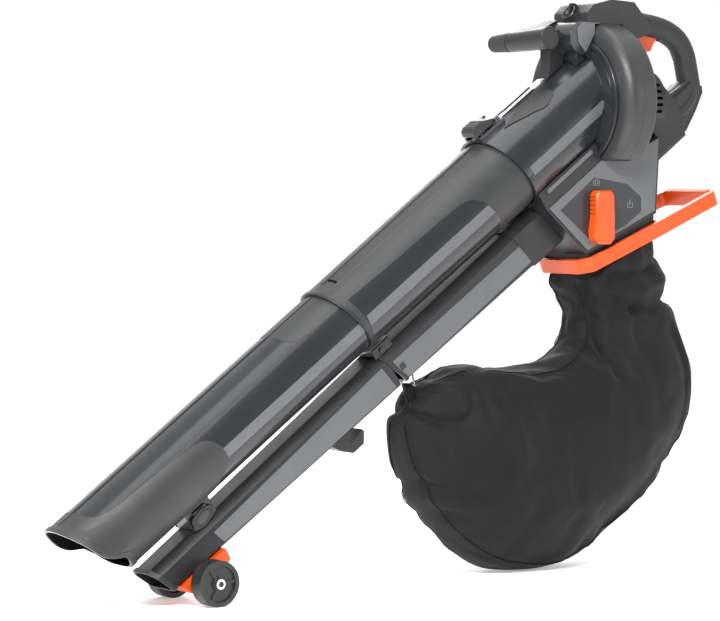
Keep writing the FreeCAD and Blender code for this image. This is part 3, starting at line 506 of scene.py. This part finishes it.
# ---- zones and stripes of the suction tubes; an edge is a list of (height across the tube, u) ----
LIP = [(-68, -925), (-55, -938), (-36, -943), (-22, -950), (-12, -966), (6, -981), (30, -990), (55, -1000),
       (68, -1004)]
CUFF_EDGE = [(-62, -764), (-42, -747), (-24, -727), (-8, -722.5), (5, -724), (13, -727), (20, -731),
             (27, -738), (31, -746), (33.5, -760), (38.5, -845), (41, -905), (42.5, -925), (45, -938),
             (49, -948), (54, -954), (61.5, -958)]
wrap_zone("nozzle_cuff", NOZZLE_R, LIP, CUFF_EDGE, 0.5, CUFF, full_turn(240), slot="shell_grey",
          lip=2.1, rows=3)
SHOULDER = [(37.5, -420), (38.6, -470), (39.2, -490), (40.6, -504), (43, -514), (46, -521), (50, -527),
            (54, -530), (61.5, -533)]
wrap_zone("tube_top_matt", NOZZLE_R, SHOULDER, [(-70, -404), (70, -430)], 0.4, GREY, steps(-52.2, 52.2, 110),
          slot="shell_grey")
INSET_REAR = [(-68, -95), (-24, -96), (-10, -99), (2, -103.5), (12, -109.5), (19, -116), (25, -122),
              (29, -128), (32, -137), (34.3, -151), (36, -204), (37.6, -308), (41.2, -403)]
both_sides("upper_window", upper_radius, [(-70, -399), (5, -402), (70, -409)], INSET_REAR, 0.4, GLOSS,
           angles=steps(52.4, 180, 140), slot="shell_gloss")
both_sides("lower_stripe", NOZZLE_R, [(-70, -722), (-16.5, -722), (1.5, -727), (70, -727)],
           [(-70, -412), (70, -412)], 0.5, LIGHT, angles=steps(88.6, 105.6, 6), slot="trim_light")
both_sides("upper_stripe", upper_radius, [(-70, -399), (70, -399)],
           [(-70, -103), (-13.5, -101), (5, -108), (70, -108)], 0.9, LIGHT, angles=steps(86, 101.7, 6),
           slot="trim_light")
both_sides("duct_stripe", DUCT_R, [(-70, -6), (-10.5, -6), (7.5, -7.5), (70, -7)],
           [(-70, 166), (-9.4, 166), (-5, 172), (0, 179.5), (7.5, 181), (70, 181)], 1.6, LIGHT,
           angles=steps(84.2, 97.6, 8), slot="trim_light")
both_sides("duct_window", DUCT_R,
           [(40, 96), (55, 92), (59, 74), (60.7, 62), (65.5, 32), (67, 14), (71.5, 66), (72.9, 76)],
           [(40, 99), (55, 99.5), (58, 112), (60, 124), (66, 127), (71, 128), (72.9, 128)], 1.7, BLACK,
           angles=steps(12, 41, 20), slot="shell_gloss")


# ---- plates on the sides of the blow tube and of the front clip ----
BLOW_FACE_Y, CLIP_FACE_Y = 32.0, 25.0
SIDES = ((-1, "left"), (1, "right"))


def tube_side(face_y, side):
    """Map (u, w, height above the face) onto a flat side, face_y away from the middle."""
    def mapper(u, w, height):
        return tube_at(u, side * (face_y + height), w)
    return mapper


# name, outline, corner radius, face, bottom, top, material, edge width, slot
SIDE_PLATES = [
    ("lower_panel_", [(-797, -105), (-404, -95.5), (-398, -138), (-790, -129)], 3.0,
     BLOW_FACE_Y, -0.2, 0.6, LIGHT, 0.2, "trim_light"),
    ("upper_panel_", [(-381, -100), (-69, -104), (-58, -139), (-376, -139.5)], 2.0,
     BLOW_FACE_Y, -0.2, 0.6, LIGHT, 0.2, "trim_light"),
    ("peg_hole_", [(-375, -123), (-364, -123), (-364, -112), (-375, -112)], 2.0,
     BLOW_FACE_Y, 0.5, 0.75, BLACK, 0.1, "shell_black"),
    ("clip_rim_", [(-819, -86), (-800, -91), (-776, -85), (-771, -70), (-790, -63), (-814, -68)], 4.0,
     CLIP_FACE_Y, -0.4, 2.0, BLACK, 0.6, "shell_black"),
    ("clip_insert_", [(-809, -81), (-798, -85), (-782, -80), (-782, -72), (-794, -69), (-806, -73)], 3.0,
     CLIP_FACE_Y, 1.6, 2.6, GUNMETAL, 0.5, "steel")]
for side, tag in SIDES:
    for name, corners, radius, face_y, bottom, top, material, width, slot in SIDE_PLATES:
        slab(name + tag, rounded_outline(corners, radius), tube_side(face_y, side), bottom, top, material,
             width)

# ---- the bag ----
# outer and inner edge in the machine's plane of symmetry (X, Z) and half width, from frame to tip
BAG_STATIONS = [
    ((726, 483.5), (895.5, 550), 67), ((722, 472), (902, 532), 67.5), ((720, 460), (907, 515), 66),
    ((731, 438), (920, 478), 63), ((739, 410), (934, 432), 61), ((739, 384), (961, 378), 73),
    ((730, 360), (983, 306), 87), ((714, 347), (969, 226), 97), ((692, 340), (895, 132), 103),
    ((665, 336), (799, 62), 105), ((635, 333), (722, 14), 105), ((600, 332), (640, 1.5), 105),
    ((562, 334), (538, 18), 101), ((527, 338), (444, 84), 91), ((492, 334), (396, 163), 73),
    ((456, 320), (382, 236), 47), ((430, 302), (392, 276), 20)]
# path of a fold (X, Z), its width, how far it stands out, and the share of that on the far side
BAG_FOLDS = [
    ([(897, 505), (862, 486), (822, 478), (780, 476)], 8.0, -7.0, 1.0),
    ([(908, 472), (870, 458), (820, 449), (760, 447)], 12.0, 7.5, 1.0),
    ([(932, 440), (905, 428), (870, 420), (830, 420)], 8.0, -11.0, 1.0),
    ([(830, 420), (798, 430), (770, 446)], 9.0, -5.0, 1.0),
    ([(930, 408), (880, 396), (830, 388), (790, 396)], 16.0, 4.0, 0.8),
    ([(736, 470), (742, 440), (750, 410), (746, 372), (752, 352)], 8.0, -6.5, 0.9),
    ([(752, 352), (772, 322), (800, 286), (812, 250)], 10.0, -3.5, 0.9),
    ([(764, 474), (772, 440), (778, 404), (770, 360)], 11.0, 3.5, 0.8),
    ([(726, 352), (740, 330), (758, 310)], 8.0, 3.0, 0.7),
    ([(828, 384), (848, 346), (862, 300), (868, 262)], 12.0, -2.5, 0.7),
    ([(900, 392), (920, 350), (930, 310)], 13.0, 2.5, 0.7),
    ([(386, 282), (398, 268), (424, 256), (452, 254), (476, 266), (480, 292)], 7.0, -9.5, 1.0),
    ([(406, 300), (436, 312), (464, 300), (474, 282)], 10.0, 5.0, 0.9),
    ([(392, 262), (400, 246), (420, 236)], 8.0, 3.5, 0.9),
    ([(436, 232), (470, 226), (510, 238)], 13.0, 3.0, 0.8),
    ([(480, 330), (500, 300), (508, 262)], 12.0, -2.0, 0.7),
    ([(398, 156), (424, 146), (460, 136), (492, 134)], 7.0, -6.0, 1.0),
    ([(404, 132), (440, 120), (484, 114)], 10.0, 4.0, 0.9),
    ([(420, 104), (450, 100), (480, 92)], 8.0, -3.5, 0.9),
    ([(480, 60), (510, 78), (528, 104)], 10.0, -3.5, 0.8),
    ([(560, 30), (578, 54), (590, 88)], 11.0, -3.0, 0.8),
    ([(940, 300), (910, 290), (884, 268)], 12.0, -2.5, 0.8),
    ([(936, 196), (900, 200), (868, 190)], 13.0, -2.5, 0.7),
    ([(850, 110), (826, 128), (806, 152)], 12.0, -2.0, 0.7)]
BAG_STEPS, BAG_AROUND = 108, 96
BAG_SQUARE = 0.88                       # power that squares the bag's section
FRAME_SLOPE = 0.39                      # of the bag's rim, along X
FLOOR_GAP = 0.3                         # least height of the cloth over the floor
SEAM_RATIO = 0.42                       # place of the seams across the section
SEAM_END = 5                            # stations left free at each end of a seam
SEAM_PROUD = 0.7                        # how far the middle of the piping lies outside the cloth
CLOTH_SLACK = -0.02                     # the cloth wants to grow by 2 %, which makes it wrinkle
CLOTH_PRESSURE = 1.0
CLOTH_FRAMES = 20
CLOTH_CAP = 9.0                         # millimetres, the furthest the cloth moves a point


def catmull(values, t):
    """Smooth value through a list at a fractional index."""
    i = min(int(t), len(values) - 2)
    f = t - i
    p1, p2 = values[i], values[i + 1]
    p0 = values[i - 1] if i > 0 else p1 * 2 - p2
    p3 = values[i + 2] if i + 2 < len(values) else p2 * 2 - p1
    return 0.5 * ((2 * p1) + (p2 - p0) * f + (2 * p0 - 5 * p1 + 4 * p2 - p3) * f * f
                  + (3 * p1 - p0 - 3 * p2 + p3) * f ** 3)


BAG_ROWS = np.array([[a[0], a[1], b[0], b[1], y] for a, b, y in BAG_STATIONS], float)


def bag_point(station, turn):
    """Point of the smooth bag, level frame in mm, at a station and an angle round it."""
    ax, az, bx, bz, half = catmull(BAG_ROWS, station)
    c, s = math.cos(turn), math.sin(turn)
    along = math.copysign(abs(c) ** BAG_SQUARE, c) * 0.5
    side = math.copysign(abs(s) ** BAG_SQUARE, s) * half
    return np.array([(ax + bx) / 2 + (bx - ax) * along, side, (az + bz) / 2 + (bz - az) * along])


def distance_to_path(points, path):
    """Distance of each point from a path of straight parts, in the plane."""
    best = np.full(len(points), 1e9)
    for first, second in zip(path, path[1:]):
        a, b = np.array(first, float), np.array(second, float)
        along = b - a
        t = np.clip(((points - a) @ along) / (along @ along), 0, 1)
        best = np.minimum(best, np.linalg.norm(points - (a + t[:, None] * along), axis=1))
    return best


def smooth01(x):
    """Soft step from 0 to 1."""
    x = np.clip(x, 0.0, 1.0)
    return x * x * (3 - 2 * x)


def ripple(points, size, seed):
    """Soft seeded undulation made of a few plane waves."""
    rng = np.random.default_rng(seed)
    total = np.zeros(len(points))
    for _ in range(7):
        direction = rng.normal(size=3)
        direction /= np.linalg.norm(direction)
        pitch = size * rng.uniform(0.7, 1.5)
        total += np.sin(points @ direction * (2 * math.pi / pitch) + rng.uniform(0, 6.28))
    return total / 7.0


def bag_displacement(points):
    """How far each point of the bag stands out from or sinks under its smooth form, in mm."""
    total = np.zeros(len(points))
    x, y, z = points.T
    flat = points[:, [0, 2]]
    near_part = smooth01((-y + 12) / 40)
    for path, width, depth, far in BAG_FOLDS:
        near = np.exp(-(distance_to_path(flat, path) / width) ** 2)
        shifted = [(path_x + 9, path_z - 7) for path_x, path_z in path]
        other = np.exp(-(distance_to_path(flat, shifted) / (width * 1.15)) ** 2)
        total += depth * (near * near_part + far * other * (1 - near_part))
    neck = smooth01((z - 380) / 90) * smooth01((536 - z + (x - 800) * FRAME_SLOPE) / 30)
    pleats = np.sin(np.arctan2(y, x - 820) * 9 + z * 0.04)
    total += neck * (pleats * 1.3 + ripple(points, 34.0, 9) * 1.6)
    total += ripple(points, 95.0, 3) * 2.6 + ripple(points, 48.0, 5) * 1.3
    return total * smooth01((549 - z + (x - 895) * FRAME_SLOPE) / 16)


def settle_cloth(verts, faces, held):
    """Let inflated cloth find its wrinkles; held lists the points sewn to the frame and to the tab."""
    mesh = bpy.data.meshes.new("bag_trial")
    mesh.from_pydata([at(*p) for p in verts], [], faces)
    trial = bpy.data.objects.new("bag_trial", mesh)
    bpy.context.scene.collection.objects.link(trial)
    trial.vertex_groups.new(name="held").add(held, 1.0, "REPLACE")
    cloth = trial.modifiers.new("cloth", "CLOTH")
    settings = cloth.settings
    settings.quality = 5
    settings.mass = 0.25
    settings.tension_stiffness = 60.0
    settings.compression_stiffness = 60.0
    settings.shear_stiffness = 6.0
    settings.bending_stiffness = 0.4
    settings.air_damping = 2.0
    settings.shrink_min = CLOTH_SLACK
    settings.use_pressure = True
    settings.uniform_pressure_force = CLOTH_PRESSURE
    settings.vertex_group_mass = "held"
    settings.effector_weights.gravity = 0.0
    cloth.point_cache.frame_start = 1
    cloth.point_cache.frame_end = CLOTH_FRAMES
    for frame_number in range(1, CLOTH_FRAMES + 1):
        bpy.context.scene.frame_set(frame_number)
    settled = trial.evaluated_get(bpy.context.evaluated_depsgraph_get())
    moved = np.array([level(v.co) for v in settled.data.vertices]) - verts
    bpy.data.objects.remove(trial)
    bpy.context.scene.frame_set(1)
    reach = np.linalg.norm(moved, axis=1, keepdims=True)
    return verts + moved * np.minimum(1.0, CLOTH_CAP / np.maximum(reach, 1e-6))


def bag_normals_of(grid):
    """Outward normals of the smooth bag."""
    along = np.gradient(grid, axis=0)
    across = np.roll(grid, -1, axis=1) - np.roll(grid, 1, axis=1)
    normal = np.cross(across, along)
    length = np.linalg.norm(normal, axis=2, keepdims=True)
    normal = normal / np.maximum(length, 1e-9)
    centre = grid.mean(axis=1, keepdims=True)
    flip = np.sign((normal * (grid - centre)).sum(axis=2, keepdims=True).sum(axis=1, keepdims=True))
    return normal * flip


def build_bag():
    """The bag as one piece; also the grid of its points and its normals, for the seams."""
    rows = len(BAG_STATIONS) - 1
    shape = (BAG_STEPS + 1, BAG_AROUND, 3)
    smooth = np.array([bag_point(rows * i / BAG_STEPS, 2 * math.pi * j / BAG_AROUND)
                       for i in range(BAG_STEPS + 1) for j in range(BAG_AROUND)])
    normal = bag_normals_of(smooth.reshape(shape))
    moved = smooth.reshape(shape) + normal * bag_displacement(smooth).reshape(*shape[:2], 1)
    number = np.arange(shape[0] * shape[1]).reshape(shape[:2])
    turned = np.roll(number, -1, axis=1)
    faces = np.stack([number[:-1], turned[:-1], turned[1:], number[1:]], axis=2).reshape(-1, 4).tolist()
    held = number[[0, 1, 2, BAG_STEPS]].reshape(-1).tolist()
    moved = settle_cloth(moved.reshape(-1, 3), faces, held).reshape(shape)
    moved[:, :, 2] = np.maximum(moved[:, :, 2], FLOOR_GAP)
    work = bmesh.new()
    verts = [work.verts.new(at(*point)) for point in moved.reshape(-1, 3)]
    for corners in faces:
        work.faces.new([verts[k] for k in corners])
    tip = work.verts.new(at(*moved[-1].mean(axis=0)))
    for first, second in zip(number[-1], turned[-1]):
        work.faces.new((verts[first], verts[second], tip))
    bag = place("bag_cloth", mesh_from(work, "bag_cloth"), CLOTH)
    smooth_faces(bag)
    subdivide(bag)
    cloth = bag.modifiers.new("cloth", "SOLIDIFY")
    cloth.thickness = 0.0016
    cloth.offset = -1.0
    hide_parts("bag_neck", "bag_left", "bag_right")
    return moved, normal


WIRE_SIDES = 8
WIRE_UP = Vector((0.13, 0.31, 0.94))    # any direction that no wire runs along


def circle_points(middle, first, second, radius, count):
    """Points round a circle in the plane of two directions."""
    turns = [2 * math.pi * k / count for k in range(count)]
    return [middle + (first * math.cos(turn) + second * math.sin(turn)) * radius for turn in turns]


def rings_and_walls(work, sections):
    """Rings of vertices with faces between them."""
    rings = [[work.verts.new(p) for p in ring] for ring in sections]
    for one, two in zip(rings, rings[1:]):
        join_rings(work, one, two)
    return rings


def join_rings(work, one, two):
    """Faces between two rings with as many vertices each."""
    for k in range(len(one)):
        j = (k + 1) % len(one)
        work.faces.new((one[k], one[j], two[j], two[k]))


def close_ends(work, rings):
    """One face over the first ring and one over the last."""
    work.faces.new(rings[0])
    work.faces.new(list(reversed(rings[-1])))


def tube_along(name, points, radius, material, closed=False):
    """Round cord or wire through points in the row frame, metres, as a mesh."""
    sections = []
    count = len(points)
    for i, here in enumerate(points):
        before = points[i - 1] if (i > 0 or closed) else here
        after = points[(i + 1) % count] if (i + 1 < count or closed) else here
        along = (after - before).normalized()
        first = along.cross(WIRE_UP).normalized()
        sections.append(circle_points(here, first, along.cross(first), radius, WIRE_SIDES))
    work = bmesh.new()
    rings = rings_and_walls(work, sections)
    if closed:
        join_rings(work, rings[-1], rings[0])
    else:
        close_ends(work, rings)
    piece = place(name, mesh_from(work, name), material)
    smooth_faces(piece)
    return piece


bag_grid, bag_normals = build_bag()


def seam_path(side):
    """Both edges of a side panel, down the outer edge, round the front end and back."""
    edge_turn = math.asin(SEAM_RATIO ** (1 / BAG_SQUARE))
    outer = round(edge_turn / (2 * math.pi) * BAG_AROUND)
    inner = BAG_AROUND // 2 - outer
    if side < 0:
        outer, inner = BAG_AROUND - outer, BAG_AROUND - inner
    proud = bag_grid + bag_normals * SEAM_PROUD
    kept = slice(SEAM_END, BAG_STEPS - SEAM_END + 1)
    return [at(*p) for p in [*proud[kept, outer], *proud[kept, inner][::-1]]]


for side, tag in SIDES:
    tube_along("bag_piping_" + tag, seam_path(side), 0.0010, PIPING)


def loft(name, sections, material):
    """Closed form through rings of row-frame points."""
    work = bmesh.new()
    close_ends(work, rings_and_walls(work, sections))
    piece = place(name, mesh_from(work, name), material)
    smooth_faces(piece)
    subdivide(piece)
    return piece


# ---- the fabric tab, gathered under the wire ring ----
tab_low, tab_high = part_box("bag_tab")
TAB_X = (tab_low.x + tab_high.x) / 2
TAB_TOP = tab_high.z - 0.002
TAB_AROUND = 20
# height over the top, half sizes along X and Y, and how far back the middle lies
TAB_ROWS = [(1.5, 2.5, 12.0, -1.0), (-1.5, 6.0, 14.0, -0.5), (-5, 7.5, 13.6, 0.5), (-11, 7.0, 11.0, 2.0),
            (-17, 9.5, 12.0, 4.0), (-24, 10.0, 11.0, 7.0), (-30, 14.0, 15.0, 12.0), (-40, 18.0, 18.0, 18.0)]
sections = []
for drop, half_x, half_y, shift in TAB_ROWS:
    ring = []
    for k in range(TAB_AROUND):
        turn = 2 * math.pi * k / TAB_AROUND
        pleat = 1.0 + 0.16 * math.sin(5 * turn + drop * 0.3) + 0.07 * math.sin(9 * turn - drop * 0.5)
        ring.append(Vector((TAB_X + (shift + half_x * math.cos(turn) * pleat) * MM,
                            half_y * math.sin(turn) * pleat * MM, TAB_TOP + drop * MM)))
    sections.append(ring)
tab = loft("bag_tab_cloth", sections, PIPING)
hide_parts("bag_tab")

# ---- near-black sheet inside the nozzle as painted shade, ring at the mid seam, and the slot behind it painted near black as its shade ----
SHADE_SHEET_R, SEAM_RING_R = NOZZLE_R - 3.1, 66.6
wrap_zone("nozzle_shade_sheet", SHADE_SHEET_R, [(w, u + 1.5) for w, u in LIP], [(-70, -700), (70, -700)], 0.5, HOLLOW_SHADE,
          full_turn(120), slot="shell_black")
wrap_zone("mid_seam_ring", SEAM_RING_R, [(-70, -399.6), (70, -429)], [(-70, -395.6), (70, -425)], 0.3, BLACK,
          full_turn(160), slot="shell_black")


def on_upper_tube(u, phi, height):
    return on_tube(upper_radius, u, phi, height)


SLOT = rounded_outline([(-393.5, 3), (-388.5, 3), (-388.5, 21), (-393.5, 21)], 2.0)
# the slot is a near-black plate: painted shade for its hollow
slab("tube_top_slot", SLOT, on_upper_tube, -0.4, 0.25, HOLLOW_SHADE, 0.1, cut=3.0)


# ---- marks on the selector: two icons and the knob's pointer ----
PANEL_FACE_Y, KNOB_FACE_Y = 62.4, 81.9


def box_side(depth):
    """Map level X and Z onto a plane at the left of the box, height outwards."""
    def mapper(x, z, height):
        return at(x, -(depth + height), z)
    return mapper


def icon(name, cx, cz, parts):
    """Small moulded mark made of a few flat shapes."""
    for number, outline in enumerate(parts):
        shape = rounded_outline([(cx + a, cz + b) for a, b in outline], 0.6, 3)
        slab(f"{name}_{number}", shape, box_side(PANEL_FACE_Y), -0.2, 0.35, INK, 0.05)


BAG_ICON = [[(-6, -7), (-4.6, -7), (-4.6, 3), (-6, 3)], [(4.6, -7), (6, -7), (6, 3), (4.6, 3)],
            [(-6, -7), (6, -7), (6, -5.6), (-6, -5.6)], [(-1, -2), (1, -2), (1, 7), (-1, 7)],
            [(-3.2, 0.6), (0, -3.4), (3.2, 0.6), (1.8, 1.4), (0, -0.8), (-1.8, 1.4)]]
BLOW_ICON = [[(-7, -6), (-5.4, -6), (-5.4, 4), (-7, 4)], [(-3, -6), (-1.6, -6), (-1.6, 7), (-3, 7)],
             [(1.2, -6), (2.6, -6), (2.6, 7), (1.2, 7)], [(5.0, -6), (6.4, -6), (6.4, 4), (5.0, 4)],
             [(-7, -6), (6.4, -6), (6.4, -4.8), (-7, -4.8)]]
icon("icon_bag", 818, 596, BAG_ICON)
icon("icon_blow", 746, 631, BLOW_ICON)
mark = rounded_outline([(757, 604), (767, 604), (767, 608), (762, 612.5), (757, 608)], 0.8, 3)
slab("knob_mark", mark, box_side(KNOB_FACE_Y), -0.2, 0.35, ORANGE, 0.1, "selector")


# ---- bead round the flange in front of the fan, and the collar of the duct ----
fan_low, fan_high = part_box("impeller")
BEAD_X = level(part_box("scroll_front")[0])[0] - 5.9
BEAD_Z = (fan_low.z + fan_high.z) / 2 / MM - 3.0
BEAD_R, BEAD_THICK = 104.6, 1.7
bead = circle_points(at(BEAD_X, 0, BEAD_Z), Vector((0, 0, 1)), Vector((0, 1, 0)), BEAD_R * MM, 120)
tube_along("flange_bead_outer", bead, BEAD_THICK * MM, GLOSS, closed=True)
wrap_zone("duct_collar", DUCT_R, [(-200, -14.0), (200, -14.0)], [(-200, -9.5), (200, -9.5)], 0.8, GLOSS,
          full_turn(120), slot="shell_gloss")


# ---- ribs moulded into the rubber of the rear grip ----
GRIP_HALF, GRIP_REACH = 18.0, 20.0      # half width of the grip, and from its middle to its inner side
GRIP_LINE = [(985, 856), (992, 844), (999, 818), (1002, 802)]
RIBS = 12


def grip_rib(number, x, z, turn):
    """Slim bar that stands just proud of the inner side of the grip."""
    outline = rounded_outline([(-11.5, -0.9), (11.5, -0.9), (11.5, 0.9), (-11.5, 0.9)], 0.8, 3)

    def mapper(across, along, height):
        out = GRIP_REACH * (GRIP_HALF ** 2 - across * across) ** 0.5 / GRIP_HALF + height
        return at(x - out * math.cos(turn) - along * math.sin(turn), across,
                  z - out * math.sin(turn) + along * math.cos(turn))
    slab(f"grip_rib_{number:02d}", outline, mapper, -0.8, 0.7, RUBBER, 0.2)


for number in range(RIBS):
    t = number / (RIBS - 1) * (len(GRIP_LINE) - 1)
    i = min(int(t), len(GRIP_LINE) - 2)
    f = t - i
    (x0, z0), (x1, z1) = GRIP_LINE[i], GRIP_LINE[i + 1]
    grip_rib(number, x0 + (x1 - x0) * f, z0 + (z1 - z0) * f, math.atan2(x1 - x0, z0 - z1))

# ---- the foot of the rear handle, rounded where it runs into the housing ----
FOOT_SQUARE, FOOT_AROUND = 0.8, 28
# height, front, back and half width
FOOT_ROWS = [(806, 984, 1022, 17.5), (798, 979, 1024, 17.5), (788, 963, 1024.5, 17.4), (779, 946, 1023, 17.2),
             (770, 934, 1019.5, 17.0), (752, 940, 1011, 16.5), (735, 944, 1000, 16.0), (717, 948, 989, 15.6)]
foot_sections = []
for z, x0, x1, half in FOOT_ROWS:
    foot_ring = []
    for k in range(FOOT_AROUND):
        turn = 2 * math.pi * k / FOOT_AROUND
        c, s = math.cos(turn), math.sin(turn)
        foot_ring.append(at((x0 + x1) / 2 + (x1 - x0) / 2 * math.copysign(abs(c) ** FOOT_SQUARE, c),
                            half * math.copysign(abs(s) ** FOOT_SQUARE, s), z))
    foot_sections.append(foot_ring)
loft("rear_handle_foot", foot_sections, DARK)


# ---- hexagons painted black as the shade in the sockets of the axle's ends and of the clip's screws ----
CLIP_SCREW_Y = 28.4


def socket_shade_at(name, x, y, z, side, radius):
    """Black hexagon on a face that looks to one side: painted shade for the hollow of a socket."""
    turns = [math.radians(60 * k) for k in range(6)]
    outline = [(radius * math.cos(turn), radius * math.sin(turn)) for turn in turns]

    def mapper(a, b, height):
        return at(x + a, y + side * height, z + b)
    slab(name, outline, mapper, -0.4, 0.15, BLACK, 0.05)


for side, tag in SIDES:
    axle_low, axle_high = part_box("wheel_axle")
    outer_y = (axle_low.y if side < 0 else axle_high.y) / MM
    socket_shade_at("axle_socket_shade_" + tag, 0.0, outer_y, WHEEL_Z, side, 4.6)
    socket_shade_at("clip_socket_shade_" + tag, *level(tube_at(-384, side * CLIP_SCREW_Y, -75)), side, 2.4)


# ---- wound springs in place of the plain sleeves ----
SPRING_TURNS, SPRING_TURN_PARTS = 5, 16
SPRING_WIRE = 0.00045


def coil_spring(node, low, high, radius):
    """Round wire wound evenly between two row-frame points."""
    along = (high - low).normalized()
    first = along.cross(Vector((0, 1, 0))).normalized()
    second = along.cross(first)
    count = SPRING_TURNS * SPRING_TURN_PARTS
    points = []
    for k in range(count + 1):
        turn = 2 * math.pi * k / SPRING_TURN_PARTS
        points.append(low.lerp(high, k / count) + (first * math.cos(turn) + second * math.sin(turn)) * radius)
    spring = tube_along(node + "_coil", points, SPRING_WIRE, STEEL)
    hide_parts(node)
    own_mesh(spring)


trigger_low, trigger_high = at(918, 0, 888.2), at(918, 0, 895.3)
coil_spring("trigger_spring", trigger_low, trigger_high, 2.7 * MM)
latch_low, latch_high = tube_at(-18, 0, 75.9), tube_at(-18, 0, 79.8)
coil_spring("latch_spring", latch_low, latch_high, 3.3 * MM)


# ---- floor, light and camera ----
FLOOR_HALF = 30
floor_material = bpy.data.materials.new("floor_pale")
floor_material.use_nodes = True
floor_shader = floor_material.node_tree.nodes["Principled BSDF"]
floor_shader.inputs["Base Color"].default_value = (0.97, 0.97, 0.97, 1)
floor_shader.inputs["Emission Color"].default_value = (1, 1, 1, 1)
floor_shader.inputs["Emission Strength"].default_value = 0.36
floor_shader.inputs["Roughness"].default_value = 0.55
floor_shader.inputs["Specular IOR Level"].default_value = 0.2
floor_mesh = bpy.data.meshes.new("floor")
floor_mesh.from_pydata([(a * FLOOR_HALF, b * FLOOR_HALF, 0) for a, b in ((-1, -1), (1, -1), (1, 1), (-1, 1))],
                       [], [(0, 1, 2, 3)])
floor_mesh.materials.append(floor_material)
floor = bpy.data.objects.new("floor", floor_mesh)
bpy.context.scene.collection.objects.link(floor)

# soft grey surroundings, brighter on the side that faces the machine's left front
world = bpy.data.worlds.new("studio")
world.use_nodes = True
sky = world.node_tree
facing = sky.nodes.new("ShaderNodeVectorMath")
facing.operation = "DOT_PRODUCT"
facing.inputs[1].default_value = (0.59, 0.806, 0.05)
sky.links.new(sky.nodes.new("ShaderNodeTexCoord").outputs["Generated"], facing.inputs[0])
shade = ramp(sky, facing.outputs["Value"], -0.35, 0.55, 0.26, 1.05)
sky.links.new(shade, sky.nodes["Background"].inputs["Strength"])
sky.nodes["Background"].inputs["Color"].default_value = (1.0, 1.0, 1.0, 1.0)
bpy.context.scene.world = world


def softbox(name, place_at, look_at, size_x, size_y, power):
    """Rectangular lamp aimed at a point; metres and watts."""
    data = bpy.data.lights.new(name, "AREA")
    data.shape = "RECTANGLE"
    data.size = size_x
    data.size_y = size_y
    data.energy = power
    lamp = bpy.data.objects.new(name, data)
    lamp.location = place_at
    lamp.rotation_euler = (Vector(look_at) - Vector(place_at)).to_track_quat("-Z", "Y").to_euler()
    bpy.context.scene.collection.objects.link(lamp)


softbox("key", (-1.9, -1.5, 2.5), (-0.1, 0, 0.4), 2.4, 0.45, 150)
softbox("top", (0.2, -0.2, 3.0), (0, 0, 0.4), 2.6, 1.6, 30)
softbox("rim", (1.6, 2.2, 1.8), (0, 0, 0.5), 1.2, 1.6, 24)
softbox("side", (2.2, -2.4, 1.2), (0.3, 0, 0.5), 0.8, 1.6, 8)

camera_data = bpy.data.cameras.new("camera")
camera_data.sensor_width = 36.0
camera_data.lens = 150.0
camera_data.clip_end = 200.0
camera = bpy.data.objects.new("camera", camera_data)
camera.location = at(-2457.4, -3785.8, 652.9)
camera.rotation_euler = (math.radians(87.3), 0.0, math.radians(-36.2))
bpy.context.scene.collection.objects.link(camera)
bpy.context.scene.camera = camera
bpy.context.scene.view_settings.view_transform = "Standard"
